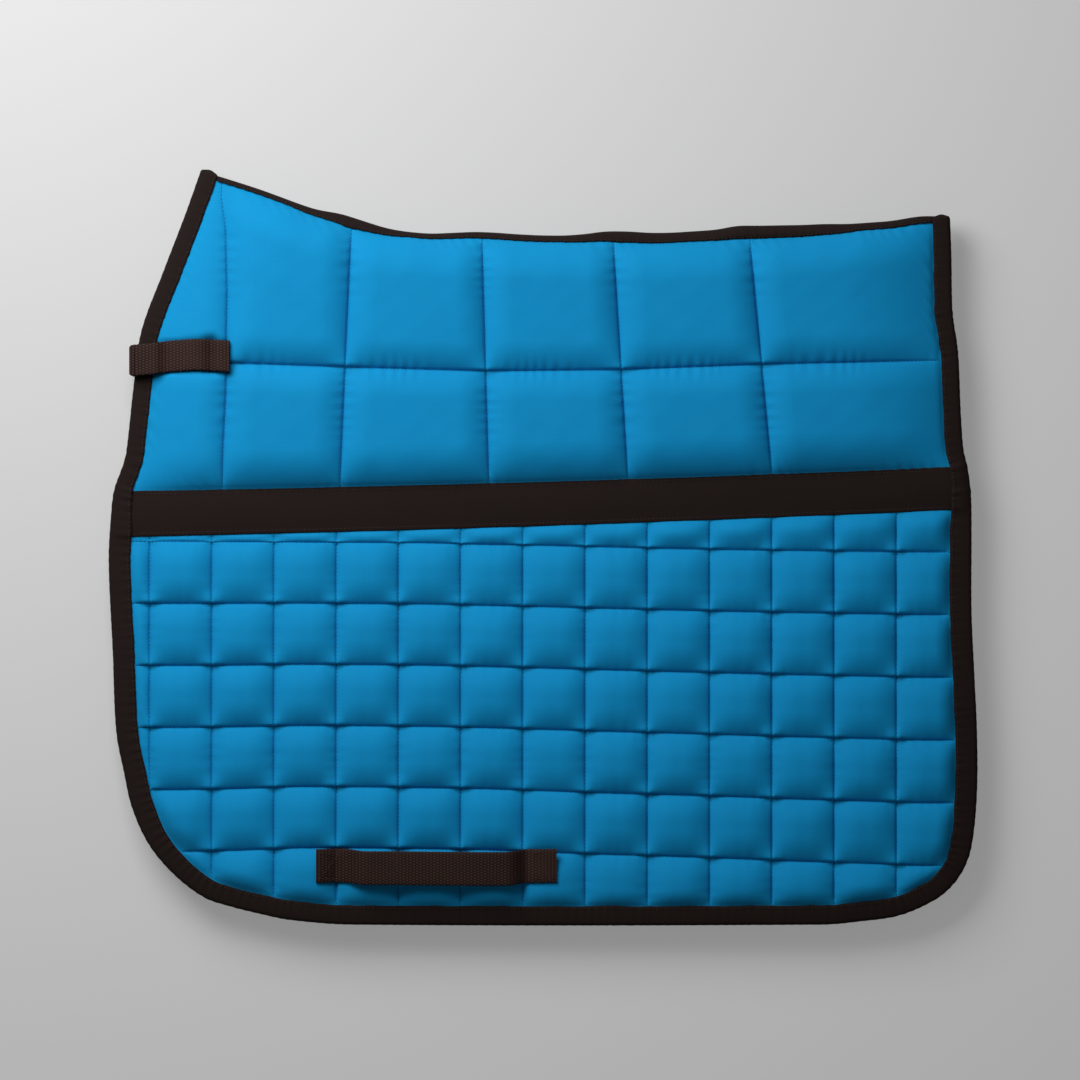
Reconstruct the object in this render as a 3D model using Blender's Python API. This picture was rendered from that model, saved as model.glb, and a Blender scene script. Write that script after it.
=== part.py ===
"""Dressage saddle pad, folded along its spine and lying on its right flap.

Frame: metres, +X from the horse's front to its rear, +Y up towards the spine,
+Z up from the floor. The two flaps mirror each other about the fold plane,
which is level. A height in the code is measured from that plane outwards.

The parts of one flap, from the horse outwards, are the linings, the waddings
and the covers of the upper panel and of the lower skirt, a band over their
join, a binding round the edge, a girth loop, and a front tab whose free end
folds back on touch-and-close patches. One tape over the spine joins the flaps.
"""

import math

import bmesh
import bpy
from mathutils import Vector
from mathutils.geometry import delaunay_2d_cdt

MM = 0.001

# Overall pattern of one flap
PAD_LENGTH = 643 * MM
PAD_DROP = 559 * MM

# Front edge, as millimetres in from the front and down from the withers
FRONT_UPPER = ((71, 1), (58, 32), (41, 75), (24, 120), (18, 164), (13, 209), (3, 250), (0, 290))
# Below the band, edges are millimetres in from the front or rear and up from the hem
FRONT_LOWER = ((3, 202), (7, 143))
REAR_LOWER = ((1, 98), (1, 143), (3, 187), (5, 232))
REAR_UPPER = ((5, 270), (5, 239), (10, 209), (13, 179), (15, 135), (19, 105), (20, 61), (22, 34))
# Spine, as millimetres in from the front or rear and down from the withers
SPINE_FRONT = ((71, 1), (112, 14), (156, 30), (223, 47), (334, 49))
SPINE_REAR = ((198, 45), (113, 40), (43, 34), (22, 34))
# Hem between its corners, as millimetres in from the front or rear and up
HEM_FRONT = ((90, 14), (112, 8), (134, 3.5), (180, 0))
HEM_REAR = ((115, 0.5), (87, 3.5), (62, 7))

FRONT_CORNER_RADIUS = 92 * MM
FRONT_CORNER_IN = 108 * MM
FRONT_CORNER_UP = 103 * MM
REAR_CORNER_RADIUS = 60 * MM
REAR_CORNER_IN = 64 * MM
REAR_CORNER_UP = 69 * MM

# Band over the join of panel and skirt, from its front end to its rear end
BAND_TOP_DROP_FRONT = 238 * MM
BAND_TOP_DROP_REAR = 219 * MM
BAND_TOP_SAG = 2 * MM
BAND_WIDTH_FRONT = 34 * MM
BAND_WIDTH_REAR = 32 * MM
BAND_THICKNESS = 1.2 * MM

# Upper panel: large cells of thick wadding
UPPER_SEAMS_TOP = (86, 180, 277, 374, 475)
UPPER_SEAMS_LOW = (87, 172, 282, 385, 492)
UPPER_ROW_DROP = ((90, 143), (175, 146), (279, 149), (379, 148), (483, 144), (618, 141))
UPPER_ROW_PITCH = 96 * MM
UPPER_LOFT = 20 * MM
UPPER_SEAM_HEIGHT = 8 * MM
UPPER_RUN = 44 * MM

# Lower skirt: small square quilting
SKIRT_PITCH_X = 46.1 * MM
SKIRT_PITCH_Y = 45.3 * MM
SKIRT_FIRST_COLUMN = 30.5 * MM
SKIRT_LOW_ROW_UP = 51 * MM
SKIRT_TILT = 0.0145
SKIRT_LOFT = 10 * MM
SKIRT_RUN = 20 * MM

# Cloth layers at the pressed edge of a flap
GAP = 0.3 * MM
EDGE_HEIGHT = 5 * MM
COVER_THICKNESS = 0.8 * MM
LINING_THICKNESS = 0.7 * MM
LINING_LOFT = 1.1 * MM
EDGE_RUN_UPPER = 26 * MM
EDGE_RUN_SKIRT = 15 * MM
LOFT_POWER = 2.4

# Edge binding and spine tape
BINDING_THICKNESS = 1.0 * MM
BINDING_WIDTH_UPPER = 13.3 * MM
BINDING_WIDTH_SKIRT = 15.8 * MM
BINDING_WIDTH_INSIDE = 11 * MM
BINDING_ROUND = 2.2 * MM
TAPE_THICKNESS = 1.2 * MM
TAPE_WIDTH = 9 * MM
CURVE_TOLERANCE = 0.3 * MM
LINE_OVERRUN = 1.5 * MM

# Girth loop, of webbing, sewn down at its ends
WEB_WIDTH = 25 * MM
WEB_THICKNESS = 1.6 * MM
LOOP_FROM_FRONT = 154 * MM
LOOP_LENGTH = 178 * MM
LOOP_UP = 44 * MM
LOOP_SEWN = 20 * MM
LOOP_RAMP = 18 * MM

# Front tab, of narrower webbing, folded at its front end
TAB_WIDTH = 23 * MM
TAB_THICKNESS = 1.4 * MM
TAB_DROP = 139 * MM
TAB_LENGTH = 75 * MM
TAB_PAST_EDGE = 6 * MM
TAB_EYE = 5 * MM
TAB_EYE_LENGTH = 14 * MM
PATCH_LENGTH = 28 * MM
PATCH_MARGIN = 2 * MM
PATCH_THICKNESS = 0.5 * MM
PATCH_FROM_END = 6 * MM

FOLD_HEIGHT = UPPER_LOFT
CLOTH_BELOW_CREST = EDGE_HEIGHT + 2 * GAP
LINING_EDGE = GAP / 2 + BINDING_THICKNESS + GAP
LINING_TOP = LINING_EDGE + LINING_THICKNESS
WADDING_LOW = LINING_TOP + GAP
BINDING_TOP = EDGE_HEIGHT + GAP + BINDING_THICKNESS
FRONT_X = -PAD_LENGTH / 2
REAR_X = PAD_LENGTH / 2
WITHERS_Y = PAD_DROP / 2
HEM_Y = -PAD_DROP / 2

BLUE = (0.010, 0.345, 0.710)
BROWN = (0.022, 0.014, 0.011)
BROWN_WEB = (0.040, 0.024, 0.019)
WHITE = (0.80, 0.79, 0.76)
BLACK = (0.012, 0.012, 0.013)


def from_withers(inset_mm, drop_mm, rear=False):
    """A point given in millimetres from the front or rear and down from the withers."""
    x = REAR_X - inset_mm * MM if rear else FRONT_X + inset_mm * MM
    return Vector((x, WITHERS_Y - drop_mm * MM))


def from_hem(inset_mm, height_mm, rear=False):
    """A point given in millimetres from the front or rear and up from the hem."""
    x = REAR_X - inset_mm * MM if rear else FRONT_X + inset_mm * MM
    return Vector((x, HEM_Y + height_mm * MM))


def arc(centre, radius, start_deg, end_deg, count):
    """Points along an arc, with both ends."""
    turn = (end_deg - start_deg) / (count - 1)
    angles = [math.radians(start_deg + turn * i) for i in range(count)]
    return [centre + radius * Vector((math.cos(a), math.sin(a))) for a in angles]


def smooth_curve(knots, steps=12):
    """A smooth curve through the knots, with tangents centred on each of them."""
    ends = [2 * knots[0] - knots[1], *knots, 2 * knots[-1] - knots[-2]]
    headings = [(after - before).normalized() for before, after in zip(ends, ends[2:])]
    found = []
    for start, end, leaving, arriving in zip(knots, knots[1:], headings, headings[1:]):
        reach = (end - start).length
        for i in range(steps):
            t = i / steps
            found.append(
                start * (2 * t**3 - 3 * t**2 + 1) + end * (3 * t**2 - 2 * t**3)
                + leaving * reach * (t**3 - 2 * t**2 + t) + arriving * reach * (t**3 - t**2)
            )
    return [*found, knots[-1].copy()]


def segment_distance(point, a, b):
    """Distance in the pattern's plane from a point to the stretch a to b."""
    along = b - a
    share = (point - a).dot(along) / max(along.length_squared, 1e-18)
    return (point - a - along * min(max(share, 0), 1)).length


def thinned(points, tolerance=CURVE_TOLERANCE):
    """The fewest of the points that keep the curve within the tolerance."""
    if len(points) < 3:
        return points
    far = [segment_distance(p, points[0], points[-1]) for p in points[1:-1]]
    worst = max(range(len(far)), key=far.__getitem__)
    if far[worst] <= tolerance:
        return [points[0], points[-1]]
    split = worst + 1
    return thinned(points[: split + 1], tolerance)[:-1] + thinned(points[split:], tolerance)


def normals(path):
    """Unit normals on the left of the path, at each of its points."""
    found = []
    for i in range(len(path)):
        before = path[max(i - 1, 0)]
        after = path[min(i + 1, len(path) - 1)]
        along = (after - before).normalized()
        found.append(Vector((-along.y, along.x)))
    return found


def path_distance(point, path):
    return min(segment_distance(point, a, b) for a, b in zip(path, path[1:]))


def hem_path():
    """The flap's edge from the withers down the front, round the hem and up the rear."""
    front_centre = Vector((FRONT_X + FRONT_CORNER_IN, HEM_Y + FRONT_CORNER_UP))
    rear_centre = Vector((REAR_X - REAR_CORNER_IN, HEM_Y + REAR_CORNER_UP))
    knots = [from_withers(*p) for p in FRONT_UPPER]
    knots += [from_hem(*p) for p in FRONT_LOWER]
    knots += arc(front_centre, FRONT_CORNER_RADIUS, 190, 246, 4)
    knots += [from_hem(*p) for p in HEM_FRONT]
    knots += [from_hem(*p, rear=True) for p in HEM_REAR]
    knots += arc(rear_centre, REAR_CORNER_RADIUS, 292, 350, 4)
    knots += [from_hem(*p, rear=True) for p in REAR_LOWER]
    knots += [from_withers(*p, rear=True) for p in REAR_UPPER]
    return thinned(smooth_curve(knots))


def spine_path():
    """The spine's crest from the withers back to the cantle."""
    knots = [from_withers(*p) for p in SPINE_FRONT]
    knots += [from_withers(*p, rear=True) for p in SPINE_REAR]
    return thinned(smooth_curve(knots))


HEM = hem_path()
CREST = spine_path()


def within(point, polygon):
    """Whether a point of the pattern is inside the polygon."""
    crossings = 0
    for a, b in zip(polygon, polygon[1:] + polygon[:1]):
        if (a.y > point.y) != (b.y > point.y):
            crossings += point.x < a.x + (b.x - a.x) * (point.y - a.y) / (b.y - a.y)
    return crossings % 2 == 1


def band_top(x):
    """Height in the pattern of the band's upper edge."""
    share = (x - FRONT_X) / PAD_LENGTH
    drop = BAND_TOP_DROP_FRONT + (BAND_TOP_DROP_REAR - BAND_TOP_DROP_FRONT) * share
    return WITHERS_Y - drop - BAND_TOP_SAG * math.sin(math.pi * share)


def band_width(x):
    share = (x - FRONT_X) / PAD_LENGTH
    return BAND_WIDTH_FRONT + (BAND_WIDTH_REAR - BAND_WIDTH_FRONT) * share


def band_low(x):
    return band_top(x) - band_width(x)


def band_middle(x):
    return band_top(x) - band_width(x) / 2


def binding_width(y):
    """Width of the binding on the outer face, narrower beside the upper panel."""
    top = band_top(0)
    share = min(max((top - y) / band_width(0), 0), 1)
    return BINDING_WIDTH_UPPER + (BINDING_WIDTH_SKIRT - BINDING_WIDTH_UPPER) * share


def past_binding(point):
    """How far a point of the pattern is inside the binding's inner edge."""
    depth = path_distance(point, HEM)
    side = 1 if within(point, HEM + CREST[::-1]) else -1
    return side * depth - binding_width(point.y)


def inside_upper(point):
    """How far a point is inside the part of the upper panel that shows."""
    return min(
        past_binding(point),
        path_distance(point, CREST) - TAPE_WIDTH,
        point.y - band_top(point.x),
    )


def inside_skirt(point):
    """How far a point is inside the part of the skirt that shows."""
    return min(past_binding(point), band_low(point.x) - point.y)


def rise(distance, run):
    """From 0 at a seam to 1 at the run, steep at first, as stuffed cloth rises."""
    share = min(max(distance / run, 0), 1)
    return 1 - (1 - share) ** LOFT_POWER


def along(table, x):
    """Height in the pattern of a line through (millimetres back, millimetres down) pairs."""
    back = (x - FRONT_X) / MM
    pairs = list(zip(table, table[1:]))
    (x0, y0), (x1, y1) = next((p for p in pairs if back <= p[1][0]), pairs[-1])
    share = min(max((back - x0) / (x1 - x0), 0), 1)
    return WITHERS_Y - (y0 + (y1 - y0) * share) * MM


def upper_row(x):
    return along(UPPER_ROW_DROP, x)


def upper_seam(index, y):
    """Where an upright seam of the upper panel stands at a height of the pattern."""
    top, low = UPPER_SEAMS_TOP[index], UPPER_SEAMS_LOW[index]
    top_y, low_y = WITHERS_Y - 50 * MM, band_top(0)
    share = (top_y - y) / (top_y - low_y)
    return FRONT_X + (top + (low - top) * share) * MM


def skirt_columns():
    """Upright quilting lines of the skirt, from the front."""
    count = int((PAD_LENGTH - SKIRT_FIRST_COLUMN) / SKIRT_PITCH_X) + 1
    found = [FRONT_X + SKIRT_FIRST_COLUMN + i * SKIRT_PITCH_X for i in range(count)]
    return [x for x in found if x < REAR_X - BINDING_WIDTH_SKIRT - SKIRT_PITCH_X / 4]


def skirt_row(index, x):
    """Height in the pattern of a level quilting line, counted up from the hem."""
    return HEM_Y + SKIRT_LOW_ROW_UP + index * SKIRT_PITCH_Y - SKIRT_TILT * x


def skirt_row_count():
    return int((band_low(0) - skirt_row(0, 0)) / SKIRT_PITCH_Y - 0.1) + 1


def upper_loft(point):
    """Share of the full loft at a point of the upper panel."""
    share = rise(inside_upper(point), EDGE_RUN_UPPER)
    share *= rise(abs(point.y - upper_row(point.x)), UPPER_RUN)
    for i in range(len(UPPER_SEAMS_TOP)):
        share *= rise(abs(point.x - upper_seam(i, point.y)), UPPER_RUN)
    return share


def upper_height(point):
    seam = EDGE_HEIGHT + (UPPER_SEAM_HEIGHT - EDGE_HEIGHT) * rise(inside_upper(point), EDGE_RUN_UPPER)
    return seam + (UPPER_LOFT - UPPER_SEAM_HEIGHT) * upper_loft(point)


def skirt_loft(point):
    """Share of the full loft at a point of the skirt."""
    share = rise(inside_skirt(point), EDGE_RUN_SKIRT)
    for x in skirt_columns():
        share *= rise(abs(point.x - x), SKIRT_RUN)
    for i in range(skirt_row_count()):
        share *= rise(abs(point.y - skirt_row(i, point.x)), SKIRT_RUN)
    return share


def skirt_height(point):
    return EDGE_HEIGHT + (SKIRT_LOFT - EDGE_HEIGHT) * skirt_loft(point)


def clipped(polygon, keep):
    """The polygon's part where keep(point) is positive; the line crosses it twice."""
    found = []
    for a, b in zip(polygon, polygon[1:] + polygon[:1]):
        da, db = keep(a), keep(b)
        if da >= 0:
            found.append(a)
        if (da >= 0) != (db >= 0):
            found.append(a + (b - a) * (da / (da - db)))
    return found


def divided(path, step=3 * MM):
    """The path with points no further apart than the step."""
    found = []
    for a, b in zip(path, path[1:]):
        count = math.ceil((b - a).length / step)
        found += [a.lerp(b, i / count) for i in range(count)]
    return [*found, path[-1]]


def beside(path, offset):
    """The path moved to its left by the offset, in short steps."""
    path = divided(path)
    return [p + n * offset for p, n in zip(path, normals(path))]


def flap_pattern():
    """The cloth's outline inside the binding and under the spine tape."""
    side_inset = BINDING_ROUND + GAP
    sides = [p for p in beside(HEM, side_inset) if path_distance(p, CREST) >= CLOTH_BELOW_CREST]
    top = [p for p in beside(CREST, -CLOTH_BELOW_CREST) if path_distance(p, HEM) > side_inset]
    return thinned(sides) + thinned(top[::-1])


def binding_edge(inside):
    """The binding's inner edge on the outer face, run just past where inside holds."""
    edge = [p + n * binding_width(p.y) for p, n in zip(divided(HEM), normals(divided(HEM)))]
    return thinned([p for p in edge if inside(p) > -LINE_OVERRUN])


def tape_edge():
    """The spine tape's lower edge, between the bindings."""
    return thinned([p for p in beside(CREST, -TAPE_WIDTH) if past_binding(p) > -LINE_OVERRUN])


def triangulated(polygon, lines, points):
    """Triangles over the polygon that keep to the lines and use the points."""
    corners = list(polygon)
    edges = []
    for line in lines:
        first = len(corners)
        corners += line
        edges += [(i, i + 1) for i in range(first, len(corners) - 1)]
    corners += points
    outline = [list(range(len(polygon)))]
    places, _, faces, sources, _, _ = delaunay_2d_cdt(corners, edges, outline, 1, 1e-5, True)
    rim = {}
    for index, origins in enumerate(sources):
        rim.update({origin: index for origin in origins if origin < len(polygon)})
    inside = [f for f in faces if within(sum((places[i] for i in f), Vector((0, 0))) / 3, polygon)]
    return places, inside, [rim[i] for i in range(len(polygon))]


def sheet_solid(top, top_height, low, low_height):
    """A closed solid between two triangulated sheets with the same outline."""
    mesh = bmesh.new()
    rims = []
    for (places, faces, rim), height in ((top, top_height), (low, low_height)):
        made = [mesh.verts.new((p.x, p.y, height(p))) for p in places]
        for face in faces:
            mesh.faces.new([made[i] for i in face])
        rims.append([made[i] for i in rim])
    upper, lower = rims
    for i in range(len(upper)):
        j = (i + 1) % len(upper)
        mesh.faces.new((upper[i], upper[j], lower[j], lower[i]))
    loose = [v for v in mesh.verts if not v.link_faces]
    bmesh.ops.delete(mesh, geom=loose, context="VERTS")
    bmesh.ops.recalc_face_normals(mesh, faces=mesh.faces)
    return mesh


def shares_between(stops, shares):
    """The places at the given shares of each step between the stops."""
    return [a + (b - a) * share for a, b in zip(stops, stops[1:]) for share in shares]


def upper_points(shares, margin):
    """Points inside the upper panel's cells, clear of its edges by the margin."""
    found = []
    for column in shares_between(range(-1, len(UPPER_SEAMS_TOP) + 1), shares):
        for place in shares_between(range(0, 3), shares):
            point = Vector((0, upper_row(0)))
            for _ in range(3):
                point.x = seam_between(column, point.y)
                point.y = row_between(place, point.x)
            if inside_upper(point) > margin:
                found.append(point)
    return found


def seam_between(column, y):
    """Where a place between the upper panel's seams is; past the ends by one pitch."""
    seams = [upper_seam(i, y) for i in range(len(UPPER_SEAMS_TOP))]
    seams = [2 * seams[0] - seams[1], *seams, 2 * seams[-1] - seams[-2]]
    index = min(int(column + 1), len(seams) - 2)
    return seams[index] + (seams[index + 1] - seams[index]) * (column + 1 - index)


def row_between(place, x):
    """Height of a place between the band at 0, the level seam at 1 and the spine at 2."""
    stops = [band_top(x), upper_row(x), upper_row(x) + UPPER_ROW_PITCH]
    index = min(int(place), 1)
    return stops[index] + (stops[index + 1] - stops[index]) * (place - index)


def upper_sheets():
    """The upper panel's quilted triangles and its plain ones, for flat faces."""
    pattern = clipped(flap_pattern(), lambda p: p.y - band_middle(p.x) - GAP / 2)
    front = binding_edge(lambda p: inside_upper(p) if p.x < 0 else -PAD_LENGTH)
    rear = binding_edge(lambda p: inside_upper(p) if p.x > 0 else -PAD_LENGTH)
    lines = [front, rear, tape_edge(), level_line(band_top, past_binding),
             level_line(upper_row, inside_upper)]
    for i in range(len(UPPER_SEAMS_TOP)):
        lines.append(upright_line(lambda y, i=i: upper_seam(i, y), inside_upper))
    quilted = triangulated(pattern, lines, upper_points((0.1, 0.29, 0.5, 0.71, 0.9), 4 * MM))
    return quilted, quilted, triangulated(pattern, [], [])


def skirt_points(shares, margin):
    """Points inside the skirt's cells, for each pair of shares."""
    columns = skirt_columns()
    columns = [columns[0] - SKIRT_PITCH_X, *columns, columns[-1] + SKIRT_PITCH_X]
    found = []
    for x0 in columns[:-1]:
        for row in range(-1, skirt_row_count()):
            for across, up in shares:
                x = x0 + SKIRT_PITCH_X * across
                point = Vector((x, skirt_row(row, x) + SKIRT_PITCH_Y * up))
                if inside_skirt(point) > margin:
                    found.append(point)
    return found


def skirt_sheets():
    """The skirt's quilted triangles, fine and coarse, and its plain ones."""
    pattern = clipped(flap_pattern(), lambda p: band_middle(p.x) - GAP / 2 - p.y)
    lines = [binding_edge(inside_skirt), level_line(band_low, past_binding)]
    for i in range(skirt_row_count()):
        lines.append(level_line(lambda x, i=i: skirt_row(i, x), inside_skirt))
    for x in skirt_columns():
        lines.append(upright_line(lambda y, x=x: x, inside_skirt))
    near, far = 0.2, 0.8
    ring = [(near, near), (0.5, near * 0.7), (far, near), (1 - near * 0.7, 0.5),
            (far, far), (0.5, 1 - near * 0.7), (near, far), (near * 0.7, 0.5)]
    fine = triangulated(pattern, lines, skirt_points([*ring, (0.5, 0.5)], 2.5 * MM))
    coarse = triangulated(pattern, lines, skirt_points([(0.5, 0.5)], 5 * MM))
    return fine, coarse, triangulated(pattern, [], [])


def level_line(height, inside):
    """Points along a line across the flap, run just past the part that shows."""
    count = 450
    xs = [FRONT_X + PAD_LENGTH * i / count for i in range(count + 1)]
    points = [Vector((x, height(x))) for x in xs]
    return thinned([p for p in points if inside(p) > -LINE_OVERRUN])


def upright_line(place, inside):
    """The same for a line up the flap."""
    count = 450
    ys = [HEM_Y + PAD_DROP * i / count for i in range(count + 1)]
    points = [Vector((place(y), y)) for y in ys]
    return thinned([p for p in points if inside(p) > -LINE_OVERRUN])


def swept(rings):
    """A closed solid through rings of points, capped at both ends."""
    mesh = bmesh.new()
    made = [[mesh.verts.new(p) for p in ring] for ring in rings]
    count = len(rings[0])
    for a, b in zip(made, made[1:]):
        for i in range(count):
            j = (i + 1) % count
            mesh.faces.new((a[i], a[j], b[j], b[i]))
    mesh.faces.new(made[0][::-1])
    mesh.faces.new(made[-1])
    bmesh.ops.recalc_face_normals(mesh, faces=mesh.faces)
    return mesh


def rings_along(path, profile, inward):
    """The profile's rings along a path; inward is 1 where its left side is the cloth."""
    rings = []
    for point, normal in zip(path, normals(path)):
        ring = []
        for across, height in profile(point):
            place = point + normal * across * inward
            ring.append((place.x, place.y, height))
        rings.append(ring)
    return rings


def binding_profile(point):
    """The bound edge's section: pairs of depth from the edge and height."""
    low, top, wall = GAP / 2, BINDING_TOP, BINDING_THICKNESS
    middle, flat = (low + top) / 2, (top - low) / 5
    width = binding_width(point.y)
    return (
        (width, top), (BINDING_ROUND, top), (0, middle + flat), (0, middle - flat),
        (BINDING_ROUND, low), (BINDING_WIDTH_INSIDE, low),
        (BINDING_WIDTH_INSIDE, low + wall), (BINDING_ROUND, low + wall),
        (wall, middle - flat), (wall, middle + flat),
        (BINDING_ROUND, top - wall), (width, top - wall),
    )


def tape_profile(_):
    """The spine tape's section, symmetric about the fold plane."""
    outer = EDGE_HEIGHT + GAP + TAPE_THICKNESS
    inner = outer - TAPE_THICKNESS
    angles = [math.radians(-90 + 30 * i) for i in range(7)]
    ring = [(TAPE_WIDTH, -outer)]
    ring += [(outer - outer * math.cos(a), outer * math.sin(a)) for a in angles]
    ring += [(TAPE_WIDTH, outer), (TAPE_WIDTH, inner)]
    ring += [(outer - inner * math.cos(a), inner * math.sin(a)) for a in angles[::-1]]
    return [*ring, (TAPE_WIDTH, -inner)]


def spine_tape():
    """The tape over the spine, from one binding to the other."""
    clear = BINDING_WIDTH_UPPER + 2 * GAP
    dense = smooth_curve(CREST, 6)
    path = thinned([p for p in dense if path_distance(p, HEM) >= clear])
    return swept(rings_along(path, tape_profile, -1))


def centre_band():
    """The flat tape over the join of the upper panel and the skirt."""
    count = 200
    xs = [FRONT_X + PAD_LENGTH * i / count for i in range(count + 1)]
    lines = []
    for height in (band_low, band_top):
        points = [Vector((x, height(x))) for x in xs]
        lines.append(thinned([p for p in points if past_binding(p) > GAP]))
    outline = lines[0] + lines[1][::-1]
    low = EDGE_HEIGHT + GAP
    mesh = bmesh.new()
    face = mesh.faces.new([mesh.verts.new((p.x, p.y, low)) for p in outline])
    made = bmesh.ops.extrude_face_region(mesh, geom=[face])["geom"]
    top = [v for v in made if isinstance(v, bmesh.types.BMVert)]
    bmesh.ops.translate(mesh, verts=top, vec=(0, 0, BAND_THICKNESS))
    bmesh.ops.recalc_face_normals(mesh, faces=mesh.faces)
    return mesh


def strap(line, y, width, thickness):
    """Webbing along a line of (x, height) points at the middle of its thickness."""
    rings = []
    for i, (x, height) in enumerate(line):
        before, after = line[max(i - 1, 0)], line[min(i + 1, len(line) - 1)]
        along_x, along_h = after[0] - before[0], after[1] - before[1]
        length = math.hypot(along_x, along_h)
        off_x, off_h = -along_h / length * thickness / 2, along_x / length * thickness / 2
        rings.append([
            (x - off_x, y - width / 2, height - off_h), (x - off_x, y + width / 2, height - off_h),
            (x + off_x, y + width / 2, height + off_h), (x + off_x, y - width / 2, height + off_h),
        ])
    return swept(rings)


def highest(height, x0, x1, y, width):
    """The greatest height of the cloth under a piece of webbing."""
    found = []
    for i in range(7):
        for j in range(7):
            point = Vector((x0 + (x1 - x0) * i / 6, y + width * (j / 6 - 0.5)))
            found.append(height(point))
    return max(found)


def girth_loop():
    """Webbing sewn down at both ends and standing clear of the skirt between them."""
    x0 = FRONT_X + LOOP_FROM_FRONT
    x1 = x0 + LOOP_LENGTH
    y = HEM_Y + LOOP_UP
    top = FOLD_HEIGHT - WEB_THICKNESS / 2
    line = []
    for start, step in ((x0, 1), (x1, -1)):
        sewn = start + step * LOOP_SEWN
        seat = highest(skirt_height, start, sewn + step * LOOP_RAMP / 2, y, WEB_WIDTH)
        low = seat + GAP + WEB_THICKNESS / 2
        part = [(start, low), (sewn, low)]
        for i in range(1, 7):
            share = i / 6
            swing = (1 - math.cos(math.pi * share)) / 2
            part.append((sewn + step * LOOP_RAMP * share, low + (top - low) * swing))
        line += part if step > 0 else part[::-1]
    return strap(line, y, WEB_WIDTH, WEB_THICKNESS)


def tab_y():
    return WITHERS_Y - TAB_DROP


def tab_fold_x():
    """Where the tab's fold is foremost, just past the flap's front edge."""
    y = tab_y()
    edge = next(a.x + (b.x - a.x) * (a.y - y) / (a.y - b.y)
                for a, b in zip(HEM, HEM[1:]) if a.y >= y >= b.y)
    return edge - TAB_PAST_EDGE


def under_tab(point):
    """Height of what the tab lies on."""
    binding = BINDING_TOP if past_binding(point) < GAP else 0
    return max(binding, upper_height(point))


def tab_lines():
    """Middle lines of the tab's lower and upper layers, and the ring between them."""
    y, fold = tab_y(), tab_fold_x()
    ring_radius = (TAB_EYE + TAB_THICKNESS) / 2
    ring_x = fold + ring_radius + TAB_THICKNESS / 2
    rear_x = fold + TAB_LENGTH
    count = 15
    xs = [ring_x + (rear_x - ring_x) * i / count for i in range(count + 1)]
    reach = (rear_x - ring_x) / count
    low = []
    for x in xs:
        seat = highest(under_tab, x - reach, x + reach, y, TAB_WIDTH)
        low.append((x, seat + GAP + TAB_THICKNESS / 2))
    start = low[0][1] + 2 * ring_radius
    stack = TAB_THICKNESS + 2 * PATCH_THICKNESS + 3 * GAP
    top = []
    for x, height in low:
        share = min(max((x - ring_x - TAB_EYE_LENGTH) / TAB_EYE_LENGTH, 0), 1)
        swing = (1 - math.cos(math.pi * share)) / 2
        open_height = max(start, height + stack)
        top.append((x, open_height + (height + stack - open_height) * swing))
    ring = []
    for i in range(1, 9):
        turn = math.radians(-90 - 22.5 * i)
        ring.append((ring_x + ring_radius * math.cos(turn),
                     low[0][1] + ring_radius + ring_radius * math.sin(turn)))
    return low, top, ring


def tab_base():
    """The tab's lower layer, sewn to the panel, with the turned-up ring at its front."""
    low, _, ring = tab_lines()
    return strap(low[::-1] + ring, tab_y(), TAB_WIDTH, TAB_THICKNESS)


def tab_free():
    """The tab's upper layer, which peels open about the fold."""
    _, top, _ = tab_lines()
    start = (top[0][0] + GAP, top[0][1])
    return strap([start, *top[1:]], tab_y(), TAB_WIDTH, TAB_THICKNESS)


def patch(line, offset):
    """A touch-and-close patch lying along one of the tab's layers."""
    width = TAB_WIDTH - 2 * PATCH_MARGIN
    end = line[-1][0] - PATCH_FROM_END
    part = [p for p in line if end - PATCH_LENGTH <= p[0] <= end]
    return strap([(x, height + offset) for x, height in part], tab_y(), width, PATCH_THICKNESS)


def loop_patch():
    low, _, _ = tab_lines()
    return patch(low, (TAB_THICKNESS + PATCH_THICKNESS) / 2 + GAP)


def hook_patch():
    _, top, _ = tab_lines()
    return patch(top, -(TAB_THICKNESS + PATCH_THICKNESS) / 2 - GAP)


def material(name, color, roughness):
    made = bpy.data.materials.new(name)
    made.use_nodes = True
    shader = made.node_tree.nodes["Principled BSDF"]
    shader.inputs["Base Color"].default_value = (*color, 1)
    shader.inputs["Roughness"].default_value = roughness
    made.diffuse_color = (*color, 1)
    return made


def placed(name, mesh, side, finish, pivot=None):
    """A named object from a mesh whose heights are from the fold plane.

    side is 1 for the left flap, above the plane, and -1 for the right one. A
    pivot is the piece's hinge, where its origin goes.
    """
    origin = Vector(pivot) if pivot else Vector((0, 0, 0))
    for vertex in mesh.verts:
        height = FOLD_HEIGHT + side * vertex.co.z
        vertex.co = Vector((vertex.co.x, vertex.co.y, height)) - origin
    if side < 0:
        bmesh.ops.reverse_faces(mesh, faces=mesh.faces)
    data = bpy.data.meshes.new(name)
    mesh.to_mesh(data)
    mesh.free()
    data.shade_smooth()
    data.set_sharp_from_angle(angle=math.radians(40))
    data.materials.append(finish)
    node = bpy.data.objects.new(name, data)
    node.location = origin
    bpy.context.scene.collection.objects.link(node)
    return node


def tab_pivot(side):
    """The tab's hinge: the top of its fold, where the free layer begins."""
    _, top, _ = tab_lines()
    x, height = top[0]
    return (x, tab_y(), FOLD_HEIGHT + side * (height + TAB_THICKNESS / 2))


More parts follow.
